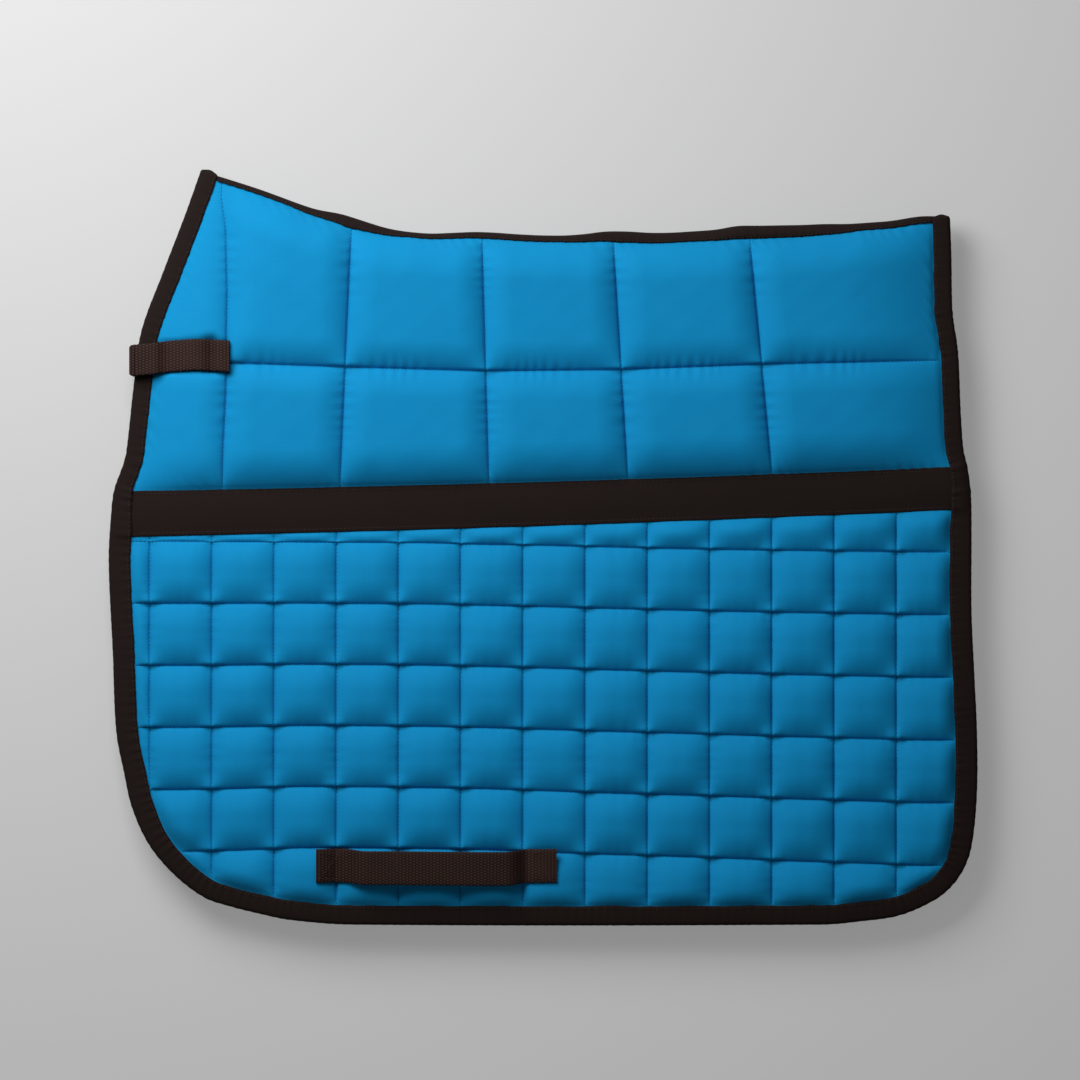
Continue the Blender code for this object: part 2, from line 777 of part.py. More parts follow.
def flap(side, label, sheets, finishes):
    """All the pieces of one flap."""
    cotton, fleece, inner, tape, web, fuzzy = finishes
    panels = (
        ("upper", *sheets[0], upper_height, upper_loft),
        ("skirt", *sheets[1], skirt_height, skirt_loft),
    )
    for panel, fine, coarse, plain, height, loft in panels:
        cover = sheet_solid(fine, height, coarse, lambda p: height(p) - COVER_THICKNESS)
        under_cover = COVER_THICKNESS + GAP
        wadding = sheet_solid(coarse, lambda p: height(p) - under_cover, plain, lambda p: WADDING_LOW)
        lining = sheet_solid(plain, lambda p: LINING_TOP, coarse,
                             lambda p: LINING_EDGE - LINING_LOFT * loft(p))
        placed(f"{label}_{panel}_cover", cover, side, cotton)
        placed(f"{label}_{panel}_wadding", wadding, side, fleece)
        placed(f"{label}_{panel}_lining", lining, side, inner)
    placed(f"{label}_centre_band", centre_band(), side, tape)
    placed(f"{label}_edge_binding", swept(rings_along(HEM, binding_profile, 1)), side, tape)
    placed(f"{label}_girth_loop", girth_loop(), side, web)
    placed(f"{label}_tab_base", tab_base(), side, web)
    placed(f"{label}_tab_loop_patch", loop_patch(), side, fuzzy)
    pivot = tab_pivot(side)
    free = placed(f"{label}_tab_free", tab_free(), side, web, pivot)
    hook = placed(f"{label}_tab_hook_patch", hook_patch(), side, fuzzy, pivot)
    hook.parent = free
    hook.location = (0, 0, 0)


def main():
    """Clear the scene and build the pad."""
    for old in list(bpy.data.objects):
        bpy.data.objects.remove(old)
    finishes = (
        material("blue_cotton", BLUE, 0.75),
        material("polyester_wadding", WHITE, 0.95),
        material("cotton_lining", BLUE, 0.85),
        material("woven_binding_tape", BROWN, 0.8),
        material("ribbed_webbing", BROWN_WEB, 0.75),
        material("touch_and_close", BLACK, 0.95),
    )
    sheets = (upper_sheets(), skirt_sheets())
    flap(1, "left", sheets, finishes)
    flap(-1, "right", sheets, finishes)
    placed("spine_tape", spine_tape(), 1, finishes[3])


main()
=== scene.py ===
"""Looks of the dressage saddle pad: quilted cloth, tapes, webbing, stitches and light.

The pad lies folded on a pale floor, its left flap up, and the camera looks
straight down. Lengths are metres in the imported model's frame: +X runs from the
horse's front to its rear, +Y up to the spine and +Z up from the floor.
"""

from __future__ import annotations

import logging
import math
from dataclasses import dataclass, field
from enum import Enum
from typing import Sequence

import bmesh
import bpy
import numpy as np
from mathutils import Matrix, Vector

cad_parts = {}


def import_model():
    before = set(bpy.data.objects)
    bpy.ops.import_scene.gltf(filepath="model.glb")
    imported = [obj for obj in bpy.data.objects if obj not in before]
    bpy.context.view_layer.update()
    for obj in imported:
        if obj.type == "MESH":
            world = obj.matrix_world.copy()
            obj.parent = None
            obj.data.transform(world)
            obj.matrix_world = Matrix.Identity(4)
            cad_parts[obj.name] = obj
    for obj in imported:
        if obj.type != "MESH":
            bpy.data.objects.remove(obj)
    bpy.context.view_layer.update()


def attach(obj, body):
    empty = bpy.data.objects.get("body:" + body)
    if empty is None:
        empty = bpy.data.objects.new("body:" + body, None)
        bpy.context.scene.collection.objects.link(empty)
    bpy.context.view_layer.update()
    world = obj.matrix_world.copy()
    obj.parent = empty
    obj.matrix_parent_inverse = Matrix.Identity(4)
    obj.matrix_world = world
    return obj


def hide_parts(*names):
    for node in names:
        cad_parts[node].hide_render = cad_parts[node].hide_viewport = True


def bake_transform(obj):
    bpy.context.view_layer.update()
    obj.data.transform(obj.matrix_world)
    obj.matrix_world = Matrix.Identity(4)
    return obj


Array = np.ndarray
Material, Object = bpy.types.Material, bpy.types.Object
Socket, Tree = bpy.types.NodeSocket, bpy.types.NodeTree

LOG = logging.getLogger("saddle_pad")
MM = 0.001
SEED = 11
# Distance between the points of most paths
STEP = 1.5 * MM
# Radians that the wave texture turns in a metre at a scale of 1
WAVE_RATE = 20
# A metre, farther than any seam is from a place on the pad
FAR = 1.0


class Side(Enum):
    """The two flaps: the left one lies on top and the right one underneath."""

    LEFT = "left"
    RIGHT = "right"

    @property
    def sign(self) -> int:
        """1 where the flap's outer face looks up, and -1 where it looks down."""
        return 1 if self is Side.LEFT else -1

    @property
    def body(self) -> str:
        """The moving body that carries the flap."""
        return f"{self.value}_flap"


class Face(Enum):
    """The two faces of a flap."""

    OUTER = "outer"
    HORSE = "horse"


def linear(hex_color: str) -> tuple[float, float, float, float]:
    """Turn an sRGB hex colour into the linear values that a shader takes.

    Args:
        hex_color: six hex digits with a leading hash.

    Returns:
        Red, green, blue and an alpha of 1.
    """
    parts = [int(hex_color[i : i + 2], 16) / 255 for i in (1, 3, 5)]
    r, g, b = (c / 12.92 if c <= 0.04045 else ((c + 0.055) / 1.055) ** 2.4 for c in parts)
    return (r, g, b, 1.0)


def node(tree: Tree, kind: str, settings: dict | None = None,
         inputs: dict | None = None) -> bpy.types.Node:
    """Add one node to a tree.

    Args:
        tree: the shader or geometry tree.
        kind: the node's type name.
        settings: the node's own properties.
        inputs: values or output sockets, by socket name or index.

    Returns:
        The new node.
    """
    made = tree.nodes.new(kind)
    for name, value in (settings or {}).items():
        setattr(made, name, value)
    for name, value in (inputs or {}).items():
        socket = made.inputs[name]
        if isinstance(value, Socket):
            tree.links.new(value, socket)
        else:
            socket.default_value = value
    return made


def maths(tree: Tree, operation: str, *values: object, clamp: bool = False) -> Socket:
    """The result of one arithmetic node.

    Args:
        tree: the shader or geometry tree.
        operation: the node's operation.
        values: numbers or output sockets, in their order.
        clamp: whether the result is kept between 0 and 1.

    Returns:
        The output socket.
    """
    settings = {"operation": operation, "use_clamp": clamp}
    return node(tree, "ShaderNodeMath", settings, dict(enumerate(values))).outputs[0]


class Weave(Enum):
    """How the threads of a cloth show."""

    PLAIN = "plain"
    DASHES = "dashes"


@dataclass(frozen=True)
class Cloth:
    """A woven cloth: matt, with thread bump, faint mottling, some fuzz and painted shade in the hollows of
    its weave.

    Attributes:
        name: what the real cloth is.
        color: the dyed thread on the tops of the weave, as sRGB hex.
        shade: the same thread painted darker where it lies deeper, as painted shade in the hollows of the
            weave, as sRGB hex.
        shade: the same thread where it lies deeper, as sRGB hex.
        warp: distance between drawn threads along X.
        weft: distance between drawn threads along Y.
        bump: depth of the weave.
        roughness: of the thread's surface.
        sheen: how much light the fuzz catches at grazing angles.
        weave: whether the threads show as an even grid or as staggered dashes.
        contrast: how far the weave alone moves the colour from shade to light.
    """

    name: str
    color: str
    shade: str
    warp: float
    weft: float
    bump: float
    roughness: float
    sheen: float
    weave: Weave = Weave.PLAIN
    contrast: float = 0.25

    MOTTLE_SCALE = 28.0
    MOTTLE_SHARE = 0.35
    FUZZ_SCALE = 1400.0
    FUZZ_SHARE = 0.30
    FUZZ_BUMP = 0.4

    def build(self) -> Material:
        """Make the material.

        Returns:
            A node material that reads Object coordinates.
        """
        made = bpy.data.materials.new(self.name)
        made.use_nodes = True
        tree = made.node_tree
        tree.nodes.clear()
        place = node(tree, "ShaderNodeTexCoord").outputs["Object"]
        weave = self._threads(tree, place)
        mottle = self._noise(tree, place, self.MOTTLE_SCALE, 5.0)
        fuzz = self._noise(tree, place, self.FUZZ_SCALE, 2.0)
        patchy = maths(tree, "MULTIPLY_ADD", mottle, self.MOTTLE_SHARE, 0.33 - self.contrast / 2)
        speck = maths(tree, "MULTIPLY_ADD", fuzz, self.FUZZ_SHARE, patchy)
        # Painted shade: the weave's height moves the colour towards the shade in its hollows and towards the
        # lit colour on its threads; mottle and fuzz add tone that differs at random.
        depth = maths(tree, "MULTIPLY_ADD", weave, self.contrast, speck, clamp=True)
        tone = node(tree, "ShaderNodeMix", {"data_type": "RGBA"},
                    {0: depth, 6: linear(self.shade), 7: linear(self.color)}).outputs[2]
        relief = maths(tree, "MULTIPLY_ADD", fuzz, self.FUZZ_BUMP, weave)
        bump = node(tree, "ShaderNodeBump", {},
                    {"Height": relief, "Strength": 0.6, "Distance": self.bump})
        shader = node(tree, "ShaderNodeBsdfPrincipled", {}, {
            "Base Color": tone, "Roughness": self.roughness, "Normal": bump.outputs[0],
            "Sheen Weight": self.sheen, "Sheen Roughness": 0.5, "Specular IOR Level": 0.12})
        node(tree, "ShaderNodeOutputMaterial", {}, {"Surface": shader.outputs[0]})
        return made

    def _threads(self, tree: Tree, place: Socket) -> Socket:
        """The height of the threads, from about 0 to 1.

        Args:
            tree: the material's tree.
            place: coordinates in metres.

        Returns:
            A socket with the height.
        """
        across, down = (self._bands(tree, place, axis, pitch)
                        for axis, pitch in (("X", self.warp), ("Y", self.weft)))
        if self.weave is Weave.PLAIN:
            return maths(tree, "MULTIPLY", across, down)
        across, down = (maths(tree, "MULTIPLY_ADD", bands, 2.0, -1.0) for bands in (across, down))
        narrow = maths(tree, "MULTIPLY", maths(tree, "MULTIPLY", across, across), across)
        crossed = maths(tree, "MULTIPLY", narrow, down)
        return node(tree, "ShaderNodeMapRange", {},
                    {"Value": crossed, "From Min": 0.0, "From Max": 0.6}).outputs[0]

    def _noise(self, tree: Tree, place: Socket, scale: float, detail: float) -> Socket:
        """A soft noise from 0 to 1."""
        values = {"Vector": place, "Scale": scale, "Detail": detail}
        return node(tree, "ShaderNodeTexNoise", {}, values).outputs["Fac"]

    def _bands(self, tree: Tree, place: Socket, axis: str, pitch: float) -> Socket:
        """Bands one pitch apart across an axis.

        Args:
            tree: the material's tree.
            place: coordinates in metres.
            axis: X or Y.
            pitch: distance from band to band.

        Returns:
            A socket from 0 to 1.
        """
        scale = 2 * math.pi / (WAVE_RATE * pitch)
        bands = node(tree, "ShaderNodeTexWave", {"wave_type": "BANDS", "bands_direction": axis},
                     {"Vector": place, "Scale": scale, "Distortion": 0.3, "Detail": 1.0,
                      "Detail Scale": 3.0})
        return bands.outputs["Fac"]


# In every cloth below, the second colour is painted shade for the hollows of the weave, and the first the
# lit tops of its threads.
# Cotton twill, dyed: matt and soft; its weave is drawn at 1.3 and 1.9 mm, coarser than it is, so that
# it just shows
COTTON = Cloth("dyed_cotton_twill", "#068EC7", "#047AAF", 1.3 * MM, 1.9 * MM, 0.05 * MM, 0.80, 0.03,
               contrast=0.40)
# The lining is the same cotton in a plainer, duller weave
LINING = Cloth("cotton_lining", "#0F86BA", "#0A73A4", 1.6 * MM, 1.6 * MM, 0.08 * MM, 0.85, 0.03)
# Polyester binding tape: a close flat weave, near black with a warm cast
TAPE = Cloth("woven_polyester_tape", "#211613", "#160F0D", 1.2 * MM, 1.2 * MM, 0.06 * MM, 0.80, 0.02)
# Polypropylene webbing: upright rows of short raised threads, painted light where they stand up as a painted
# highlight and near black between them as painted shade in the gaps; the rows
# # are drawn 2.5 mm apart and the threads 2.0 mm, a third over the real distances, so that they show
WEBBING = Cloth("ribbed_webbing", "#49312A", "#0D0807", 5.0 * MM, 2.0 * MM, 0.25 * MM, 0.65, 0.01,
                Weave.DASHES, 0.90)
# Touch-and-close tape: a black nap
NAP = Cloth("touch_and_close_nap", "#17171A", "#0B0B0C", 1.0 * MM, 1.0 * MM, 0.30 * MM, 0.95, 0.20)
# Spun polyester thread, a shade deeper than the cloth that it sews; the blue thread's deeper colour is
# partly its dye and partly painted shade of the seam grooves that it lies in
BLUE_THREAD = Cloth("blue_thread", "#07558A", "#05416B", 0.5 * MM, 0.5 * MM, 0.02 * MM, 0.55, 0.0)
BROWN_THREAD = Cloth("brown_thread", "#43342D", "#33271F", 0.5 * MM, 0.5 * MM, 0.02 * MM, 0.55, 0.0)


@dataclass
class Finishes:
    """The materials, made once and shared by both flaps."""

    cotton: Material = field(default_factory=COTTON.build)
    lining: Material = field(default_factory=LINING.build)
    tape: Material = field(default_factory=TAPE.build)
    webbing: Material = field(default_factory=WEBBING.build)
    nap: Material = field(default_factory=NAP.build)
    blue_thread: Material = field(default_factory=BLUE_THREAD.build)
    brown_thread: Material = field(default_factory=BROWN_THREAD.build)


def looked_up(where: Array, table: Sequence[Sequence[float]]) -> Array:
    """The second value of a table's pairs at places given in its first, straight between pairs."""
    return np.interp(where, *np.array(table).T)


def eased(share: Array) -> Array:
    """A share from 0 to 1 with a soft start and a soft end."""
    return share * share * (3 - 2 * share)


def half_swing(share: Array) -> Array:
    """A share from 0 to 1 that follows half a turn of a cosine."""
    return (1 - np.cos(math.pi * share)) / 2


def length_along(path: Array) -> Array:
    """The length of a path up to each of its points."""
    return np.concatenate([[0], np.cumsum(np.linalg.norm(np.diff(path, axis=0), axis=1))])


def smooth_curve(knots: Sequence[Sequence[float]]) -> Array:
    """A smooth curve through knots, with tangents centred on each of them.

    Args:
        knots: points in the pattern's plane.

    Returns:
        Points along the curve, evenly spaced.
    """
    points = np.array(knots, float)
    ends = np.vstack([2 * points[0] - points[1], points, 2 * points[-1] - points[-2]])
    heading = ends[2:] - ends[:-2]
    heading /= np.linalg.norm(heading, axis=1)[:, None]
    t = np.linspace(0, 1, 40, endpoint=False)[:, None]
    parts = []
    for start, end, leaving, arriving in zip(points, points[1:], heading, heading[1:]):
        reach = np.linalg.norm(end - start)
        parts.append(start * (2 * t**3 - 3 * t**2 + 1) + end * (3 * t**2 - 2 * t**3)
                     + leaving * reach * (t**3 - 2 * t**2 + t)
                     + arriving * reach * (t**3 - t**2))
    return evenly(np.vstack([*parts, points[-1:]]), STEP)


def evenly(path: Array, step: float) -> Array:
    """The path again with points one step apart.

    Args:
        path: its points.
        step: the distance wanted.

    Returns:
        As many points as fit, with both ends.
    """
    lengths = length_along(path)
    count = max(int(round(lengths[-1] / step)), 2)
    at = np.linspace(0, lengths[-1], count + 1)
    return np.stack([np.interp(at, lengths, path[:, i]) for i in range(path.shape[1])], axis=1)


def arc(centre: Sequence[float], radius: float, start: float, end: float,
        count: int) -> list[tuple[float, float]]:
    """Points along an arc, in degrees, with both ends.

    Args:
        centre: the arc's centre.
        radius: of the arc.
        start: where it starts, in degrees.
        end: where it ends.
        count: how many points.

    Returns:
        The points in order.
    """
    angles = np.radians(np.linspace(start, end, count))
    return [(centre[0] + radius * math.cos(a), centre[1] + radius * math.sin(a)) for a in angles]


def left_normals(path: Array) -> Array:
    """Unit normals on the left of a path, at each point.

    Args:
        path: its points.

    Returns:
        One unit vector for each point.
    """
    along = np.gradient(path, axis=0)
    along /= np.linalg.norm(along, axis=1)[:, None]
    return np.stack([-along[:, 1], along[:, 0]], axis=1)


def path_distance(points: Array, path: Array) -> Array:
    """Distance from each point to the nearest stretch of a path.

    Args:
        points: places in the pattern.
        path: the path's points.

    Returns:
        A distance for each place.
    """
    best = np.full(len(points), np.inf)
    for a, b in zip(path, path[1:]):
        run = b - a
        share = np.clip(((points - a) @ run) / max(run @ run, 1e-18), 0, 1)
        best = np.minimum(best, np.linalg.norm(points - a - share[:, None] * run, axis=1))
    return best


def within(points: Array, polygon: Array) -> Array:
    """Whether each point is inside a polygon.

    Args:
        points: places in the pattern.
        polygon: its corners in order.

    Returns:
        True or False for each place.
    """
    inside = np.zeros(len(points), bool)
    for a, b in zip(polygon, np.roll(polygon, -1, axis=0)):
        if a[1] == b[1]:
            continue
        crosses = (a[1] > points[:, 1]) != (b[1] > points[:, 1])
        x = a[0] + (b[0] - a[0]) * (points[:, 1] - a[1]) / (b[1] - a[1])
        inside ^= crosses & (points[:, 0] < x)
    return inside


def rise(distance: Array, run: float, pinch: float, reach: float = 1.5 * MM) -> Array:
    """How far stuffed cloth has risen beside a seam.

    Args:
        distance: from the seam.
        run: where the cloth reaches its full height.
        pinch: share of the rise that the stitches hold right beside the seam.
        reach: how wide that pinched part is.

    Returns:
        From 0 at the seam to 1 at the run.
    """
    away = np.maximum(distance, 0)
    slow = 1 - (1 - np.clip(away / run, 0, 1)) ** 2.1
    return pinch * (1 - np.exp(-away / reach)) + (1 - pinch) * slow


def stops_between(stops: Sequence[float], coarse: float) -> tuple[Array, Array]:
    """Grid lines that crowd together beside each seam.

    Args:
        stops: where the seams and the two ends are, rising.
        coarse: distance between lines far from any seam.

    Returns:
        For each line, the number of the stop before it and its share of the way to the next.
    """
    near = np.array([0.35, 0.8, 1.3, 1.9, 2.7, 3.7, 4.9, 6.3]) * MM
    cells, shares = [], []
    for cell, (low, high) in enumerate(zip(stops, stops[1:])):
        wide = high - low
        count = max(int(round((wide - 2 * near[-1]) / coarse)), 1)
        middle = np.linspace(near[-1], wide - near[-1], count + 1)[1:-1]
        offsets = np.concatenate([[0], near, middle, wide - near[::-1]])
        cells.append(np.full(len(offsets), cell))
        shares.append(offsets / wide)
    cells.append([len(stops) - 2])
    shares.append([1.0])
    return np.concatenate(cells).astype(int), np.concatenate(shares)


@dataclass
class Pattern:
    """The cut of one flap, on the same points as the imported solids.

    Pairs are millimetres in from the front or rear, and down from the withers
    or up from the hem.
    """

    length: float = 643 * MM
    drop: float = 559 * MM
    front_upper: tuple = ((68, 1), (57, 32), (40.5, 75), (24, 120), (18, 164), (13, 209), (10.4, 219),
                          (4, 237), (1.7, 256), (0, 290))
    front_lower: tuple = ((3, 202), (5.6, 143), (11.5, 112), (17.2, 87), (29.4, 60), (47.8, 37.7),
                          (70.6, 20.2))
    hem_front: tuple = ((90, 13.5), (112, 8), (134, 3.5), (180, 0))
    hem_rear: tuple = ((113, 0), (85, 2.5), (60, 6))
    rear_corner: tuple = (62.5, 69)
    rear_corner_radius: float = 60 * MM
    rear_lower: tuple = ((-0.5, 98), (-0.5, 143), (1.5, 187), (3.5, 232))
    rear_upper: tuple = ((3.5, 270), (4, 239), (6.7, 219), (9.5, 207), (11.5, 179), (13.5, 135), (17.5, 105),
                         (18.5, 61), (19.5, 34))
    spine_front: tuple = ((71, 1), (112, 14), (156, 30), (223, 47), (334, 49))
    spine_rear: tuple = ((198, 45), (113, 40), (43, 34), (22, 34))
    # How far the spine stands off that smooth line, as millimetres back and up
    crest_strays: tuple = ((120, 0), (155, 0.5), (173, 3), (189, 2.6), (206, 1.5), (238, 1.5), (254, 3),
                           (271, 4.2), (287, 3.6), (303, 2.2), (320, 1.1), (336, 0.7), (352, 1.5),
                           (368, 3.3), (385, 2.6), (401, 0.8), (417, 0.2), (450, 0.8), (466, 3.2),
                           (482, 2.2), (499, 1.5), (515, 0.7), (531, 0.4), (548, -1.1), (564, -1.5),
                           (580, -1.9), (600, 0))
    # How much of the spine tape shows, as millimetres back and millimetres of tape
    tape_shows: tuple = ((71, 4), (134, 4), (156, 5.5), (179, 8.5), (201, 6), (223, 4), (290, 5), (334, 5),
                         (357, 6.5), (379, 8.5), (423, 7.5), (446, 8), (468, 10), (513, 9), (535, 8),
                         (557, 5.5), (621, 5.5))
    upper_seams_top: tuple = (86, 180, 277, 374, 475)
    upper_seams_low: tuple = (87, 172, 282, 385, 492)
    upper_row: tuple = ((90, 143), (175, 146), (279, 149), (379, 148), (483, 144), (618, 141))
    band_drop: tuple = (238 * MM, 219 * MM)
    band_sag: float = 2 * MM
    band_widths: tuple = (34 * MM, 32 * MM)
    binding_widths: tuple = (13.3 * MM, 16.3 * MM, 14.5 * MM)
    skirt_pitch: float = 46.1 * MM
    skirt_first: float = 30.5 * MM
    # How far the first upright seam strays from its straight line, as millimetres down and rearwards
    first_seam_strays: tuple = ((20, -2.2), (45, 1.3), (90, 2.2), (141, 1.3), (165, 0.9), (205, -1.4),
                                (236, -2.4))
    # The lowest and the highest level line of the skirt, as millimetres back and up from the hem
    skirt_lowest: tuple = ((53, 54), (98, 55.2), (142, 57), (187, 56.8), (235, 56.2), (279, 55.5),
                           (323, 53.7), (371, 52), (416, 50.7), (464, 49), (508, 47.1), (556, 45.6),
                           (601, 43.8))
    skirt_highest: tuple = ((31, 284), (235, 282.8), (279, 281.6), (323, 280.9), (371, 279.7),
                            (416, 278.6), (464, 277.7), (508, 277.1), (601, 276.1))
    skirt_levels: int = 6
    # How the front tab bows, as millimetres along from the pad's middle and up from a straight line
    tab_drop: float = 139 * MM
    tab_bow: tuple = ((-307, -2.4), (-290, -1.0), (-275, 1.2), (-258, 2.2), (-248, 2.0), (-232, 1.0))

    def __post_init__(self) -> None:
        """Work out the curves once."""
        knots = self.measured(self.front_upper)
        knots += self.measured((*self.front_lower, *self.hem_front), hem=True)
        knots += self.measured(self.hem_rear, rear=True, hem=True)
        [corner] = self.measured([self.rear_corner], rear=True, hem=True)
        knots += arc(corner, self.rear_corner_radius, 292, 350, 4)
        knots += self.measured(self.rear_lower, rear=True, hem=True)
        knots += self.measured(self.rear_upper, rear=True)
        self.hem = smooth_curve(knots)
        spine = self.measured(self.spine_front) + self.measured(self.spine_rear, rear=True)
        self.crest = smooth_curve(spine)
        strays = looked_up(self.back(self.crest[:, 0]), self.crest_strays) * MM
        self.crest[:, 1] += np.convolve(np.pad(strays, 4, mode="edge"), np.full(9, 1 / 9), mode="valid")
        self.outline = np.vstack([self.hem[::4], self.crest[::-4]])
        self.crest_slope = np.gradient(self.crest[:, 1], self.crest[:, 0])

    def measured(self, pairs: Sequence, rear: bool = False, hem: bool = False) -> list[tuple[float, float]]:
        """Points of the pattern from their millimetres.

        Args:
            pairs: millimetres in from an end, and down from the withers or up from the hem.
            rear: whether they count from the rear end.
            hem: whether they count up from the hem.

        Returns:
            The points, in metres from the pattern's middle.
        """
        along, up = (1 if rear else -1), (-1 if hem else 1)
        return [(along * (self.length / 2 - inward * MM), up * (self.drop / 2 - away * MM))
                for inward, away in pairs]

    def back(self, x: Array) -> Array:
        """Millimetres back from the front."""
        return (x + self.length / 2) / MM

    def band_top(self, x: Array) -> Array:
        """Height in the pattern of the band's upper edge.

        Args:
            x: places along the pad.

        Returns:
            A height for each.
        """
        share = x / self.length + 0.5
        front, rear = self.band_drop
        return self.drop / 2 - (front + (rear - front) * share) - self.band_sag * np.sin(math.pi * share)

    def band_low(self, x: Array) -> Array:
        """Height in the pattern of the band's lower edge.

        Args:
            x: places along the pad.

        Returns:
            A height for each.
        """
        share = x / self.length + 0.5
        front, rear = self.band_widths
        return self.band_top(x) - (front + (rear - front) * share)

    def binding_width(self, y: Array) -> Array:
        """Width of the binding on the outer face, narrower beside the upper panel and along the hem.

        Args:
            y: heights in the pattern.

        Returns:
            A width for each.
        """
        hem, top = -self.drop / 2, self.band_top(0.0)
        beside, skirt, level = self.binding_widths
        return np.interp(y, (hem + 22 * MM, hem + 80 * MM, top - self.band_widths[0], top),
                         (level, skirt, skirt, beside))

    def tape_width(self, x: Array) -> Array:
        """How much of the spine tape shows at a place along the spine."""
        return looked_up(self.back(x), self.tape_shows) * MM

    def tape_line(self, x: Array, under: float = 0.0) -> Array:
        """Height in the pattern of the spine tape's lower edge, or of a line under it.

        Args:
            x: places along the pad.
            under: how far under the tape the line runs.

        Returns:
            A height for each place.
        """
        crest = np.interp(x, self.crest[:, 0], self.crest[:, 1])
        slope = np.interp(x, self.crest[:, 0], self.crest_slope)
        return crest - (self.tape_width(x) - under) * np.sqrt(1 + slope**2)

    def row(self, x: Array) -> Array:
        """Height of the level seam of the upper panel."""
        return self.drop / 2 - looked_up(self.back(x), self.upper_row) * MM

    def seam(self, index: int, y: Array) -> Array:
        """Where an upright seam of the upper panel stands at a height.

        Args:
            index: the number of the seam, from the front.
            y: heights in the pattern.

        Returns:
            Its place along the pad at each height.
        """
        top_y, low_y = self.drop / 2 - 50 * MM, self.band_top(0.0)
        top, low = self.upper_seams_top[index], self.upper_seams_low[index]
        found = -self.length / 2 + (top + (low - top) * (top_y - y) / (top_y - low_y)) * MM
        if index:
            return found
        return found + looked_up((self.drop / 2 - y) / MM, self.first_seam_strays) * MM

    def tab_middle(self, x: Array) -> Array:
        """Height of the front tab's middle line."""
        return self.drop / 2 - self.tab_drop + looked_up(x / MM, self.tab_bow) * MM

    def columns(self) -> list[float]:
        """Upright quilting lines of the skirt."""
        found = -self.length / 2 + self.skirt_first + np.arange(20) * self.skirt_pitch
        return [float(x) for x in found if x < self.length / 2 - 27 * MM]

    def skirt_row(self, index: int, x: Array) -> Array:
        """Height of a level quilting line, counted up from the hem."""
        low, high = looked_up(self.back(x), self.skirt_lowest), looked_up(self.back(x), self.skirt_highest)
        return -self.drop / 2 + (low + (high - low) * index / (self.skirt_levels - 1)) * MM

    def past_binding(self, points: Array) -> Array:
        """How far each point is inside the binding's inner edge."""
        side = np.where(within(points, self.outline), 1, -1)
        return side * path_distance(points, self.hem[::4]) - self.binding_width(points[:, 1])

    def past_tape(self, points: Array) -> Array:
        """How far each point is below the spine tape's lower edge."""
        return path_distance(points, self.crest[::4]) - self.tape_width(points[:, 0])


@dataclass
class Layers:
    """Heights from the fold plane of the cloth and tapes, and how the binding folds.

    The skirt swells over its packed height. The thread's height is over the
    cloth, and the cloth ends tucked in the binding's fold. The inside is how wide
    the binding is on the horse's side, and the turn how far its edge rounds.
    """

    fold: float = 20 * MM
    edge: float = 5 * MM
    gap: float = 0.3 * MM
    upper_loft: float = 20 * MM
    upper_seam: float = 11.5 * MM
    skirt_loft: float = 10.4 * MM
    skirt_swell: float = 1.6 * MM
    binding: float = 1.0 * MM
    tape: float = 1.2 * MM
    lining_edge: float = 1.45 * MM
    lining_loft: float = 1.1 * MM
    wadding_low: float = 2.45 * MM
    web: float = 1.6 * MM
    thread: float = 0.12 * MM
    tucked: float = 3.5 * MM
    binding_inside: float = 11 * MM
    binding_turn: float = 2.4 * MM

    @property
    def binding_top(self) -> float:
        """The binding's outer face."""
        return self.edge + self.gap + self.binding


def waves(points: Array, seed: int, size: float, count: int = 6) -> Array:
    """A soft random field about 0, from a few sine waves.

    Args:
        points: places in the pattern.
        seed: fixes the waves.
        size: the shortest wavelength.
        count: how many waves are added.

    Returns:
        A value from about -1 to 1 for each point.
    """
    rng = np.random.default_rng(seed)
    total = np.zeros(len(points))
    for _ in range(count):
        angle = rng.uniform(0, 2 * math.pi)
        length = size * rng.uniform(1, 3)
        heading = np.array([math.cos(angle), math.sin(angle)]) * 2 * math.pi / length
        total += np.sin(points[:, :2] @ heading + rng.uniform(0, 2 * math.pi))
    return total / math.sqrt(count)


@dataclass(frozen=True)
class Stuffing:
    """How far from its seams and edges a stuffed layer reaches its full height.

    Attributes:
        run: the distance from a seam.
        edge_runs: the same from each of the panel's edges.
        gather: how wide the gathered cloth beside an upright seam is.
    """

    run: float
    edge_runs: tuple[float, ...]
    gather: float


# Distance between the points along a piece of webbing
WEBBING_STEP = 0.35 * MM
# The number that sets the irregularity of the puckers along the panels' edges
EDGE_PUCKERS = 31
UPPER_COVER = Stuffing(22 * MM, (75 * MM, 30 * MM, 31 * MM), 12 * MM)
SKIRT_COVER = Stuffing(20 * MM, (13 * MM, 13 * MM), 7.5 * MM)
UPPER_LINING = Stuffing(30 * MM, (14 * MM, 14 * MM, 14 * MM), 9 * MM)
SKIRT_LINING = Stuffing(18 * MM, (14 * MM, 14 * MM), 9 * MM)


